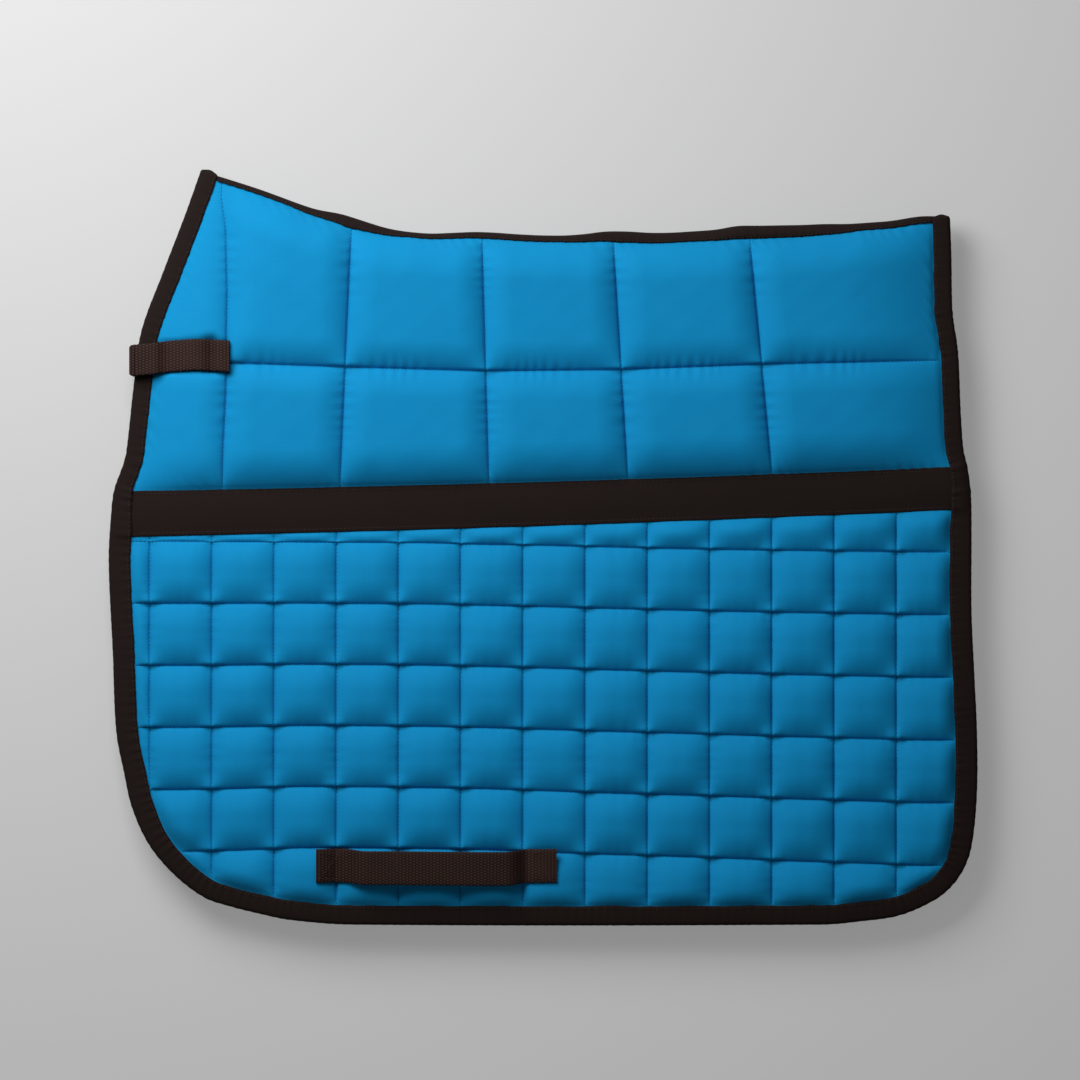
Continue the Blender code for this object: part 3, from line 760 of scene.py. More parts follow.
@dataclass
class Quilt:
    """The stuffed relief of one panel: crowns, seams, puckers and small unevenness.

    Attributes:
        pattern: the cut of the flap.
        layers: heights of its layers.
        seed: fixes the panel's irregularities.
        pinch: share of the rise that the stitches hold beside a seam.
        gathered: how much the cloth gathers in the lower corners of a cell.
        tight: how much an upright seam is drawn down under a level one.
        crease: height of the creases on the outer face.
        groove: half the width of a stitched groove.
        sunk: its depth on the outer face.
        pucker_pitch: distance from one pucker to the next along a seam.
        pucker_reach: how far the puckers run out from it.
    """

    pattern: Pattern
    layers: Layers
    seed: int
    pinch: float = 0.12
    gathered: float = 0.38
    tight: float = 0.22
    crease: float = 0.60 * MM
    groove: float = 0.8 * MM
    sunk: float = 0.9 * MM
    pucker_pitch: float = 8.6 * MM
    pucker_reach: float = 6.0 * MM

    def seams(self, points: Array) -> tuple[list, list]:
        """Upright and level seams: for each, every point's distance past it and place along it."""
        raise NotImplementedError

    def edges(self, points: Array) -> list[Array]:
        """How far each point is inside each edge of the part that shows."""
        raise NotImplementedError

    def inside(self, points: Array) -> Array:
        """How far each point is inside the part that shows."""
        return np.min(self.edges(points), axis=0)

    def grid(self, coarse: float) -> tuple[Array, tuple[int, int]]:
        """Points in rows and columns that follow the seams, and their shape."""
        raise NotImplementedError

    def levels(self, points: Array) -> list[Array]:
        """How far each point is above every level seam and above both ends of the panel."""
        raise NotImplementedError

    def relief(self, points: Array, stuffing: Stuffing) -> tuple:
        """The shares of loft and of rise from the edge, and the creases beside the seams.

        Each cell is a pillow. The upright seams are drawn down tight under a level
        seam and loosen on the way down, where the cloth that the needle pushed
        ahead gathers in the two lower corners of the cell.

        Args:
            points: places in the pattern.
            stuffing: how the layer rises.

        Returns:
            Loft from 0 to about 1, edge share from 0 to 1, crease heights from about
            -1 to 1, and how deep in a stitched groove each point lies, from 0 to 1.
        """
        inside = self.edges(points)
        depth = np.min(inside, axis=0)
        rises = [rise(each, full, self.pinch) for each, full in zip(inside, stuffing.edge_runs)]
        edge = np.prod(rises, axis=0)
        creases, groove, pillow = np.zeros(len(points)), np.zeros(len(points)), np.ones(len(points))
        beside = np.full(len(points), FAR)
        for direction, found in enumerate(self.seams(points)):
            for index, (signed, place) in enumerate(found):
                distance = np.abs(signed)
                pillow *= rise(distance, stuffing.run, self.pinch)
                groove = np.maximum(groove, np.exp(-((distance / self.groove) ** 2)))
                creases += self.puckers(distance, place, index + 7 * direction)
                if direction == 0:
                    beside = np.minimum(beside, distance)
        heights = np.array(self.levels(points))
        above = np.min(np.where(heights > 0, heights, FAR), axis=0)
        under = np.min(np.where(heights <= 0, -heights, FAR), axis=0)
        down = under / (under + above)
        loose = 0.06 + self.gathered * down**6
        tight = self.tight * np.exp(-under / stuffing.gather) * (1 - np.exp(-under / (1.5 * MM)))
        near = (1 - np.exp(-above / (1.0 * MM))) * np.exp(-((beside / stuffing.gather) ** 2))
        pillow += (loose - tight) * near
        creases += self.puckers(np.abs(depth), points[:, 0] + 0.7 * points[:, 1], EDGE_PUCKERS)
        return edge * pillow, edge, creases * np.clip(depth / (1.5 * MM), 0, 1), groove * edge

    def puckers(self, distance: Array, place: Array, index: int) -> Array:
        """Short irregular gathers that run out from a seam.

        Args:
            distance: from the seam.
            place: along the seam.
            index: the seam's number, which sets its own irregularity.

        Returns:
            Heights from about -1 to 1.
        """
        turn = index * 2.1 + self.seed
        phase = place * 2 * math.pi / self.pucker_pitch + 2.3 * np.sin(place / (21 * MM) + turn)
        phase += 1.2 * np.sin(place / (7.5 * MM) + 2 * turn)
        strength = np.clip(0.45 + 0.6 * np.sin(place / (17 * MM) + 3 * turn), 0, 1)
        fade = np.exp(-(distance / self.pucker_reach) ** 1.4) * np.clip(distance / (1.4 * MM), 0, 1)
        return np.sin(phase) * strength * fade


@dataclass
class UpperQuilt(Quilt):
    """The upper panel: large thick cells, with the front tab pressed into them.

    Attributes:
        shoulders: where the pressed cloth starts, above and below the tab's middle line.
        pressed: how deep the tab presses into it.
        pressed_rear: where along the pad that stops.
        valley: depth of the hollow that the tab dips into near its free end.
        valley_x: where along the pad that hollow lies.
    """

    shoulders: tuple[float, float] = (12.4 * MM, 13.2 * MM)
    pressed: float = 3.4 * MM
    pressed_rear: float = -230 * MM
    valley: float = 5.2 * MM
    valley_x: float = -244 * MM

    def seams(self, points: Array) -> tuple[list, list]:
        """The five upright seams and the level one."""
        upright = [(points[:, 0] - self.pattern.seam(i, points[:, 1]), points[:, 1]) for i in range(5)]
        return upright, [(points[:, 1] - self.pattern.row(points[:, 0]), points[:, 0])]

    def levels(self, points: Array) -> list[Array]:
        """Above the band, the level seam and the spine tape."""
        pat, x = self.pattern, points[:, 0]
        return [points[:, 1] - line for line in (pat.band_top(x), pat.row(x), pat.tape_line(x))]

    def edges(self, points: Array) -> list[Array]:
        """Inside the binding, below the spine tape and above the band."""
        pat = self.pattern
        return [pat.past_binding(points), pat.past_tape(points),
                points[:, 1] - pat.band_top(points[:, 0]) + 1 * MM]

    def grid(self, coarse: float) -> tuple[Array, tuple[int, int]]:
        """Columns lean with the upright seams; rows follow band, level seam and spine tape.

        Args:
            coarse: distance between lines far from any seam.

        Returns:
            The grid's points row by row, and its rows and columns.
        """
        pat = self.pattern
        half = pat.length / 2
        first_y = 150 * MM
        flat = [-half - 1 * MM, *(pat.seam(i, first_y) for i in range(5)), half + 1 * MM]
        cell_x, share_x = stops_between(flat, coarse)
        cell = pat.row(0.0) - pat.band_top(0.0)
        level = [0, 0.9 * cell, 2 * cell]
        cell_y, share_y = stops_between(level, coarse)
        cell_x, cell_y = np.meshgrid(cell_x, cell_y)
        share_x, share_y = np.meshgrid(share_x, share_y)
        y = np.full(cell_x.shape, first_y)
        for _ in range(6):
            seams = [pat.seam(i, y) for i in range(5)]
            stops = np.stack([np.full(y.shape, flat[0]), *seams, np.full(y.shape, flat[-1])])
            before, after = (np.take_along_axis(stops, cell_x[None] + k, 0)[0] for k in (0, 1))
            x = before + (after - before) * share_x
            low, middle, top = pat.band_top(x) - 9 * MM, pat.row(x), pat.tape_line(x, 1.6 * MM)
            y = np.where(cell_y == 0, low + (middle - low) * share_y, middle + (top - middle) * share_y)
        return np.column_stack([x.ravel(), y.ravel()]), x.shape

    def height(self, points: Array) -> Array:
        """Height of the outer face above the fold plane.

        Args:
            points: places in the pattern.

        Returns:
            A height for each.
        """
        lay = self.layers
        loft, edge, creases, groove = self.relief(points, UPPER_COVER)
        uneven = 1 + 0.04 * waves(points, self.seed, 70 * MM) + 0.012 * waves(points, self.seed + 1, 18 * MM)
        body = (lay.upper_loft - lay.upper_seam) * loft * uneven
        flat = lay.edge + (lay.upper_seam - lay.edge) * edge
        level = flat + body + self.crease * creases - self.sunk * groove
        return np.maximum(level - self.dent(points), np.minimum(level, lay.edge - 1 * MM))

    def dent(self, points: Array) -> Array:
        """How deep the front tab presses into the panel.

        Args:
            points: places in the pattern.

        Returns:
            A depth for each.
        """
        above = points[:, 1] - self.pattern.tab_middle(points[:, 0])
        across = np.abs(above)
        beside = eased(np.clip((np.where(above > 0, *self.shoulders) - across) / (2.3 * MM), 0, 1))
        past = points[:, 0] - self.valley_x
        valley = np.exp(-((past / np.where(past < 0, 7.5 * MM, 3.8 * MM)) ** 2))
        valley *= np.exp(-((across / (14.0 * MM)) ** 8))
        ahead = eased(np.clip((self.pressed_rear - points[:, 0]) / (4 * MM), 0, 1))
        return self.pressed * beside * ahead + self.valley * valley


@dataclass
class SkirtQuilt(Quilt):
    """The skirt: small square cells."""

    gathered: float = 0.55
    tight: float = 0.36
    crease: float = 0.20 * MM
    sunk: float = 0.7 * MM

    def seams(self, points: Array) -> tuple[list, list]:
        """The upright and level quilting lines.

        Args:
            points: places in the pattern.

        Returns:
            For each line, every point's distance past it and place along it.
        """
        upright = [(points[:, 0] - x, points[:, 1]) for x in self.pattern.columns()]
        rows = [self.pattern.skirt_row(i, points[:, 0]) for i in range(self.pattern.skirt_levels)]
        return upright, [(points[:, 1] - y, points[:, 0]) for y in rows]

    def levels(self, points: Array) -> list[Array]:
        """Above the hem, the level quilting lines and the band.

        Args:
            points: places in the pattern.

        Returns:
            For each line, how far every point is above it.
        """
        pat, (x, y) = self.pattern, points[:, :2].T
        rows = [y - pat.skirt_row(i, x) for i in range(pat.skirt_levels)]
        return [y + pat.drop / 2, *rows, y - pat.band_low(x)]

    def edges(self, points: Array) -> list[Array]:
        """Inside the binding and below the band."""
        return [self.pattern.past_binding(points), self.pattern.band_low(points[:, 0]) - points[:, 1]]

    def grid(self, coarse: float) -> tuple[Array, tuple[int, int]]:
        """Straight columns, and rows that follow the level quilting lines.

        Args:
            coarse: distance between lines far from any seam.

        Returns:
            The grid's points row by row, and its rows and columns.
        """
        pat = self.pattern
        half, rows = pat.length / 2, range(pat.skirt_levels)
        flat = [-half - 1 * MM, *pat.columns(), half + 1 * MM]
        cell_x, share_x = stops_between(flat, coarse)
        xs = np.interp(cell_x + share_x, np.arange(len(flat)), flat)
        lines = np.stack([pat.skirt_row(i, xs) for i in rows])
        lines = np.vstack([np.full(len(xs), -pat.drop / 2 - 6 * MM), lines, pat.band_low(xs) + 16 * MM])
        cell_y, share_y = stops_between(list(lines.mean(axis=1)), coarse)
        y = lines[cell_y] + (lines[cell_y + 1] - lines[cell_y]) * share_y[:, None]
        x = np.broadcast_to(xs, y.shape)
        return np.column_stack([x.ravel(), y.ravel()]), x.shape

    def height(self, points: Array) -> Array:
        """Height of the outer face above the fold plane.

        Args:
            points: places in the pattern.

        Returns:
            A height for each.
        """
        lay = self.layers
        loft, _, creases, groove = self.relief(points, SKIRT_COVER)
        uneven = 1 + 0.08 * waves(points, self.seed, 45 * MM)
        body = (lay.skirt_loft + lay.skirt_swell - lay.edge) * loft * uneven
        return lay.edge + body + self.crease * creases - self.sunk * groove


def new_object(name: str, mesh: bpy.types.Mesh, finish: Material) -> Object:
    """An object in the scene, at the origin, with one material and smooth faces; the log reports it.

    Args:
        name: the object's name.
        mesh: its mesh.
        finish: its material.

    Returns:
        The object.
    """
    mesh.materials.clear()
    mesh.materials.append(finish)
    mesh.shade_smooth()
    made = bpy.data.objects.new(name, mesh)
    bpy.context.scene.collection.objects.link(made)
    LOG.info("%s: %d faces", name, len(mesh.polygons))
    return made


def mesh_from(name: str, points: Array, faces: Sequence) -> bpy.types.Mesh:
    """A mesh from arrays of points and faces.

    Args:
        name: the mesh's name.
        points: three numbers for each.
        faces: the numbers of the points round each.

    Returns:
        The mesh.
    """
    mesh = bpy.data.meshes.new(name)
    mesh.from_pydata(points.tolist(), [], [tuple(int(i) for i in f) for f in faces])
    mesh.update()
    return mesh


def grid_solid(name: str, pattern_points: Array, inside: Array, shape: tuple[int, int],
               tops: Array, bottoms: Array, side: Side, layers: Layers) -> bpy.types.Mesh:
    """A closed quilted body over the kept cells of a square grid.

    Args:
        name: the mesh's name.
        pattern_points: the grid's points in the pattern, row by row.
        inside: which points are kept.
        shape: rows and columns.
        tops: heights of the outer face from the fold plane.
        bottoms: heights of the inner face.
        side: which flap it belongs to.
        layers: gives the fold plane.

    Returns:
        The mesh, facing outwards.
    """
    rows, cols = shape
    keep = inside.reshape(shape)
    cells = keep[:-1, :-1] & keep[1:, :-1] & keep[:-1, 1:] & keep[1:, 1:]
    j, i = np.nonzero(cells)
    a = j * cols + i
    quads = np.stack([a, a + 1, a + cols + 1, a + cols], axis=1)
    used = np.unique(quads)
    index = np.full(rows * cols, -1)
    index[used] = np.arange(len(used))
    quads = index[quads]
    count = len(used)
    edges = np.concatenate([quads[:, [k, (k + 1) % 4]] for k in range(4)])
    key = edges[:, 0].astype(np.int64) * count + edges[:, 1]
    back = edges[:, 1].astype(np.int64) * count + edges[:, 0]
    rim = edges[~np.isin(key, back)]
    flat = pattern_points[used]
    top = np.column_stack([flat, layers.fold + side.sign * tops[used]])
    low = np.column_stack([flat, layers.fold + side.sign * bottoms[used]])
    walls = np.column_stack([rim[:, 1], rim[:, 0], rim[:, 0] + count, rim[:, 1] + count])
    faces = np.vstack([quads, quads[:, ::-1] + count, walls])
    if side is Side.RIGHT:
        faces = faces[:, ::-1]
    return mesh_from(name, np.vstack([top, low]), faces)


def swept(name: str, lines: Sequence[Array], finish: Material) -> Object:
    """A piece with one closed section all along, capped at both ends.

    Args:
        name: the piece's name.
        lines: its long lines in order round the section, each an array of points by 3.
        finish: its material.

    Returns:
        The piece, with its faces turned outwards.
    """
    rings = np.stack(lines, axis=1)
    stations, count, _ = rings.shape
    base = np.arange(stations - 1)[:, None] * count
    k = np.arange(count)[None, :]
    after = (k + 1) % count
    quads = np.stack([base + k, base + after, base + after + count, base + k + count], axis=2)
    caps = [range(count)[::-1], range((stations - 1) * count, stations * count)]
    mesh = mesh_from(name, rings.reshape(-1, 3), [*quads.reshape(-1, 4), *caps])
    work = bmesh.new()
    work.from_mesh(mesh)
    bmesh.ops.recalc_face_normals(work, faces=work.faces)
    work.to_mesh(mesh)
    work.free()
    return new_object(name, mesh, finish)


@dataclass(frozen=True)
class Seam:
    """The thread of one kind of seam.

    Attributes:
        pitch: distance from one stitch to the next.
        length: of the thread that shows.
        radius: of the thread.
    """

    pitch: float
    length: float
    radius: float


BINDING_SEAM = Seam(3.2 * MM, 2.5 * MM, 0.22 * MM)
TAPE_SEAM = Seam(3.0 * MM, 2.3 * MM, 0.22 * MM)
QUILTING_SEAM = Seam(2.9 * MM, 2.1 * MM, 0.24 * MM)
BOX_SEAM = Seam(2.6 * MM, 2.0 * MM, 0.24 * MM)


class StitchMaker:
    """Rows of lockstitches, made by Geometry Nodes along seams."""

    def __init__(self) -> None:
        """Build the node group once."""
        self.group = self._group()

    def _group(self) -> Tree:
        """The tree: a small spindle of thread at each step along the curves.

        Returns:
            The node group.
        """
        tree = bpy.data.node_groups.new("lockstitches", "GeometryNodeTree")
        face = tree.interface
        face.new_socket("Geometry", in_out="INPUT", socket_type="NodeSocketGeometry")
        for name in ("Pitch", "Length", "Radius"):
            face.new_socket(name, in_out="INPUT", socket_type="NodeSocketFloat")
        face.new_socket("Thread", in_out="INPUT", socket_type="NodeSocketMaterial")
        face.new_socket("Geometry", in_out="OUTPUT", socket_type="NodeSocketGeometry")
        source = node(tree, "NodeGroupInput").outputs
        places = node(tree, "GeometryNodeCurveToPoints", {"mode": "LENGTH"},
                      {"Curve": source["Geometry"], "Length": source["Pitch"]})
        turn = node(tree, "FunctionNodeAlignRotationToVector", {"axis": "Z"},
                    {"Vector": places.outputs["Tangent"]})
        half = maths(tree, "MULTIPLY", source["Length"], 0.5)
        size = node(tree, "ShaderNodeCombineXYZ", {},
                    {"X": source["Radius"], "Y": source["Radius"], "Z": half})
        spindle = node(tree, "GeometryNodeMeshIcoSphere", {}, {"Radius": 1.0, "Subdivisions": 1})
        rows = node(tree, "GeometryNodeInstanceOnPoints", {},
                    {"Points": places.outputs["Points"], "Instance": spindle.outputs["Mesh"],
                     "Rotation": turn.outputs["Rotation"], "Scale": size.outputs[0]})
        real = node(tree, "GeometryNodeRealizeInstances", {}, {"Geometry": rows.outputs[0]})
        dressed = node(tree, "GeometryNodeSetMaterial", {},
                       {"Geometry": real.outputs[0], "Material": source["Thread"]})
        node(tree, "NodeGroupOutput", {}, {"Geometry": dressed.outputs[0]})
        return tree

    def sew(self, name: str, paths: Sequence[Array], thread: Material, seam: Seam) -> Object:
        """Sew along paths in space.

        Args:
            name: the piece's name.
            paths: arrays of points by 3.
            thread: the thread's material.
            seam: the kind of seam.

        Returns:
            One plain mesh object with every stitch.
        """
        curve = bpy.data.curves.new(name + "_path", "CURVE")
        curve.dimensions = "3D"
        for path in paths:
            spline = curve.splines.new("POLY")
            spline.points.add(len(path) - 1)
            flat = np.column_stack([path, np.ones(len(path))])
            spline.points.foreach_set("co", flat.ravel())
        guide = bpy.data.objects.new(name + "_path", curve)
        bpy.context.scene.collection.objects.link(guide)
        modifier = guide.modifiers.new("lockstitches", "NODES")
        modifier.node_group = self.group
        values = {"Pitch": seam.pitch, "Length": seam.length, "Radius": seam.radius, "Thread": thread}
        for item in self.group.interface.items_tree:
            if item.in_out == "INPUT" and item.name in values:
                modifier[item.identifier] = values[item.name]
        graph = bpy.context.evaluated_depsgraph_get()
        mesh = bpy.data.meshes.new_from_object(guide.evaluated_get(graph))
        mesh.name = name
        bpy.data.objects.remove(guide)
        return new_object(name, mesh, thread)


@dataclass
class Fold:
    """Sizes for the bend of the cloth from a flap to the spine as the pad opens; the pieces are not bent."""

    pattern: Pattern
    layers: Layers
    start_below: float = 122 * MM
    end_below: float = 46 * MM

    def bend(self, piece: Object, side: Side) -> None:
        """Bake a piece's placement into its mesh, without blending it between its flap and the spine.

        Args:
            piece: a finished mesh object with no parent.
            side: which flap carries its lower part; not used.
        """
        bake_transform(piece)


@dataclass
class Straps:
    """Sizes of the girth loop, the front tab and its patches.

    The loop's ends count from the pad's front and its middle from the hem; the
    tab's ends are places along X. The seat is how wide the tab lies on the cloth,
    and the pinch how much narrower it is in the turn of its fold. Behind the fold
    the free layer runs level and then closes on the sewn one. A box of stitches
    keeps its margin from a strip's edges and lies between two places from its end.
    """

    rib_pitch: float = 2.5 * MM
    loop_ends: tuple[float, float] = (154 * MM, 332 * MM)
    loop_up: float = 44 * MM
    loop_width: float = 25 * MM
    loop_sewn: float = 20 * MM
    loop_climb: float = 18 * MM
    loop_sag: float = 1.6 * MM
    tab_front: float = -305.8 * MM
    tab_rear: float = -231.3 * MM
    tab_width: float = 23 * MM
    tab_thick: float = 1.4 * MM
    tab_opening: float = 5 * MM
    tab_seat: float = 20 * MM
    tab_pinch: float = 2.2 * MM
    tab_level: float = 14 * MM
    tab_closing: float = 14 * MM
    box_margin: float = 3 * MM
    box_places: tuple[float, float] = (3 * MM, 17 * MM)
    patch_ends: tuple[float, float] = (34 * MM, 6 * MM)
    patch_width: float = 19 * MM
    patch_thick: float = 0.5 * MM


@dataclass
class Flap:
    """One flap of the pad, with everything sewn to it."""

    side: Side
    pattern: Pattern
    layers: Layers
    finishes: Finishes
    stitches: StitchMaker
    fold: Fold
    coarse: float = 1.7 * MM
    straps: Straps = field(default_factory=Straps)

    def __post_init__(self) -> None:
        """Set up the two quilted panels."""
        seed = SEED + (0 if self.side is Side.LEFT else 7)
        self.upper = UpperQuilt(self.pattern, self.layers, seed)
        self.skirt = SkirtQuilt(self.pattern, self.layers, seed + 3)

    def build(self) -> None:
        """Make and dress every piece of the flap."""
        for face in Face:
            self.panel("upper", self.upper, face)
            self.panel("skirt", self.skirt, face)
        self.binding()
        self.band()
        self.seam_stitches()
        self.loop()
        self.tab()

    def name(self, piece: str) -> str:
        """The piece's name with its flap's."""
        return f"{self.side.value}_{piece}"

    def lifted(self, flat: Array, heights: Array) -> Array:
        """Points of the pattern raised to heights from the fold plane."""
        return np.column_stack([flat[:, :2], self.layers.fold + self.side.sign * heights])

    def panel(self, label: str, quilt: Quilt, face: Face) -> None:
        """The quilted cloth of one panel, on its outer face or the horse's.

        Args:
            label: upper or skirt.
            quilt: the panel's relief.
            face: which face the cloth makes.
        """
        lay, pat = self.layers, self.pattern
        upper = label == "upper"
        points, shape = quilt.grid(self.coarse if face is Face.OUTER else 2.5 * self.coarse)
        middle = (pat.band_top(points[:, 0]) + pat.band_low(points[:, 0])) / 2
        across = points[:, 1] - middle if upper else middle - points[:, 1]
        depth = pat.past_binding(points) + pat.binding_width(points[:, 1]) - lay.tucked
        inside = (depth > 0) & (across > 0.6 * MM)
        if face is Face.OUTER:
            tops = quilt.height(points)
            bottoms = np.full(len(points), lay.wadding_low)
            finish, kind, hides = self.finishes.cotton, "cover", ("cover", "wadding")
        else:
            loft, _, creases, groove = quilt.relief(points, UPPER_LINING if upper else SKIRT_LINING)
            tops = np.full(len(points), lay.wadding_low - lay.gap)
            bottoms = lay.lining_edge - lay.lining_loft * loft + 0.1 * MM * creases + 0.3 * MM * groove
            bottoms = np.maximum(bottoms, lay.gap / 2)
            finish, kind, hides = self.finishes.lining, "lining", ("lining",)
        name = self.name(f"{label}_quilted_{kind}")
        mesh = grid_solid(name, points, inside, shape, tops, bottoms, self.side, lay)
        piece = new_object(name, mesh, finish)
        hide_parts(*(self.name(f"{label}_{hidden}") for hidden in hides))
        if upper:
            self.fold.bend(piece, self.side)
        else:
            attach(piece, self.side.body)

    def binding(self) -> None:
        """The edge binding: a folded tape with puckers along its stitching."""
        lay, pat = self.layers, self.pattern
        tips = []
        for last, before, past in ((pat.hem[0], pat.hem[1], 3.5 * MM), (pat.hem[-1], pat.hem[-2], 1.5 * MM)):
            tips.append(last + (last - before) / np.linalg.norm(last - before) * past)
        path = evenly(np.vstack([tips[0], pat.hem[:-1], tips[1]]), STEP)
        inward = left_normals(path)
        run = np.arange(len(path)) * STEP
        rng = np.random.default_rng(SEED + 30 + self.side.sign)
        knots = 260
        wobble = np.interp(run, np.linspace(0, run[-1], knots), rng.normal(0, 1, knots))
        turning = np.abs(np.gradient(np.unwrap(np.arctan2(inward[:, 1], inward[:, 0])))) / STEP
        pucker = np.sin(run * 2 * math.pi / (7.0 * MM) + 1.4 * wobble) * (0.6 + 0.4 * np.abs(wobble))
        pucker *= 1 + 1.2 * np.clip(turning * 92 * MM, 0, 1)
        width = pat.binding_width(path[:, 1]) + 0.20 * MM * wobble
        top, low, wall = lay.binding_top, lay.gap / 2, lay.binding
        over_band = self.band_share(path, width) * 1.5 * MM
        turn, inside = lay.binding_turn, lay.binding_inside
        middle, flat = (top + low) / 2, (top - low) / 2
        ends = np.minimum(run, run[-1] - run)
        close = np.sqrt(1 - (1 - np.clip(ends / (3 * MM), 0.02, 1)) ** 2)
        rings = []
        still = np.zeros(len(path))
        for share in np.linspace(0, 1, 9)[:-1]:
            swell = 0.30 * math.sin(math.pi * share) + 0.16 * math.exp(-share * 9)
            level = top + swell * 1.1 * MM + pucker * (0.05 + 0.25 * (1 - share) ** 2) * MM
            rings.append((width + (turn - width) * share, level + over_band * (1 - share) ** 0.5))
        for angle in np.radians(np.linspace(90, -90, 9)):
            bulge = 0.08 * MM * pucker * math.cos(angle)
            rings.append((turn * (1 - math.cos(angle)) - bulge, middle + flat * math.sin(angle) + still))
        for at, level in ((inside, low), (inside, low + wall), (turn + wall, low + wall),
                          (wall, middle), (turn + wall, top - wall)):
            rings.append((at + still, level + still))
        rings.append((width, top - wall + over_band))
        lines = []
        for at, level in rings:
            across = width / 2 + (at - width / 2) * close
            lines.append(self.lifted(path + inward * across[:, None], middle + (level - middle) * close))
        piece = swept(self.name("bound_edge"), lines, self.finishes.tape)
        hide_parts(self.name("edge_binding"))
        self.fold.bend(piece, self.side)
        stitch_line = path + inward * (width - 1.8 * MM)[:, None]
        level = top + 0.42 * MM + 0.16 * MM * pucker + over_band
        row = self.stitches.sew(self.name("binding_stitches"), [self.lifted(stitch_line, level)[4:-4]],
                                self.finishes.brown_thread, BINDING_SEAM)
        self.fold.bend(row, self.side)

    def band_share(self, path: Array, width: Array) -> Array:
        """Where the binding rides over the band's end, from 0 to 1.

        Args:
            path: the binding's outer edge.
            width: of the binding at each of its points.

        Returns:
            A share for each point.
        """
        pat = self.pattern
        beside = path + left_normals(path) * width[:, None]
        above = pat.band_top(beside[:, 0]) + 1 * MM - beside[:, 1]
        below = beside[:, 1] - pat.band_low(beside[:, 0]) + 1 * MM
        return eased(np.clip(np.minimum(above, below) / (4 * MM) + 0.5, 0, 1))

    def band(self) -> None:
        """The flat tape over the join of panel and skirt, with both its stitch rows."""
        lay, pat = self.layers, self.pattern
        xs = np.arange(-pat.length / 2, pat.length / 2, STEP)
        top, low = pat.band_top(xs), pat.band_low(xs)
        past = [pat.past_binding(np.column_stack([xs, line])) for line in (top, low)]
        keep = np.min(past, axis=0) > -6 * MM
        xs, top, low = xs[keep], top[keep], low[keep]
        base = lay.edge + lay.gap
        ripple = np.sin(xs * 2 * math.pi / (7.6 * MM) + 2 * np.sin(xs / (31 * MM)))
        drift = np.sin(xs / (43 * MM) + 1) * 0.25 * MM
        under = np.minimum(xs - xs[0], xs[-1] - xs)
        flatter = 0.75 + 0.25 * np.clip(under / (8 * MM), 0, 1)
        shares = (0.0, 0.008, 0.03, 0.07, 0.12, 0.25, 0.4, 0.6, 0.75, 0.88, 0.93, 0.97, 0.992, 1.0)
        crowns = (0.3, 0.85, 1.05, 0.95, 1.10, 1.45, 1.65, 1.65, 1.45, 1.10, 0.95, 1.05, 0.85, 0.3)
        rings = []
        for share, crown in zip(shares, crowns):
            near_edge = max(abs(share - 0.5) * 2 - 0.5, 0)
            flat = np.column_stack([xs, low + (top - low) * share + 0.12 * MM * ripple * near_edge])
            level = crown * MM * flatter + drift * (1 - abs(share - 0.5) * 2)
            level += 0.22 * MM * ripple * near_edge
            rings.append(self.lifted(flat, base + level))
        for share in (1.0, 0.0):
            flat = np.column_stack([xs, low + (top - low) * share])
            rings.append(self.lifted(flat, np.full(len(xs), base)))
        piece = swept(self.name("join_band"), rings, self.finishes.tape)
        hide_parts(self.name("centre_band"))
        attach(piece, self.side.body)
        level = base + 1.05 * MM + 0.08 * MM * ripple
        rows = [self.lifted(np.column_stack([xs, line]), level)[8:-8]
                for line in (top - 2.4 * MM, low + 2.4 * MM)]
        sewn = self.stitches.sew(self.name("band_stitches"), rows, self.finishes.brown_thread, TAPE_SEAM)
        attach(sewn, self.side.body)

    def seam_stitches(self) -> None:
        """The quilting stitches in every seam of both panels."""
        pat = self.pattern
        ys = np.arange(-pat.drop / 2, pat.drop / 2, STEP)
        xs = np.arange(-pat.length / 2, pat.length / 2, STEP)
        upper = [np.column_stack([pat.seam(i, ys), ys]) for i in range(5)]
        upper.append(np.column_stack([xs, pat.row(xs)]))
        skirt = [np.column_stack([np.full(len(ys), x), ys]) for x in pat.columns()]
        skirt += [np.column_stack([xs, pat.skirt_row(i, xs)]) for i in range(pat.skirt_levels)]
        for label, lines, quilt in (("upper", upper, self.upper), ("skirt", skirt, self.skirt)):
            paths = []
            for line in lines:
                line = line[quilt.inside(line) > 0.5 * MM]
                if len(line) > 4:
                    paths.append(self.lifted(line, quilt.height(line) + self.layers.thread))
            row = self.stitches.sew(self.name(f"{label}_quilting_stitches"), paths,
                                    self.finishes.blue_thread, QUILTING_SEAM)
            if label == "upper":
                self.fold.bend(row, self.side)
            else:
                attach(row, self.side.body)

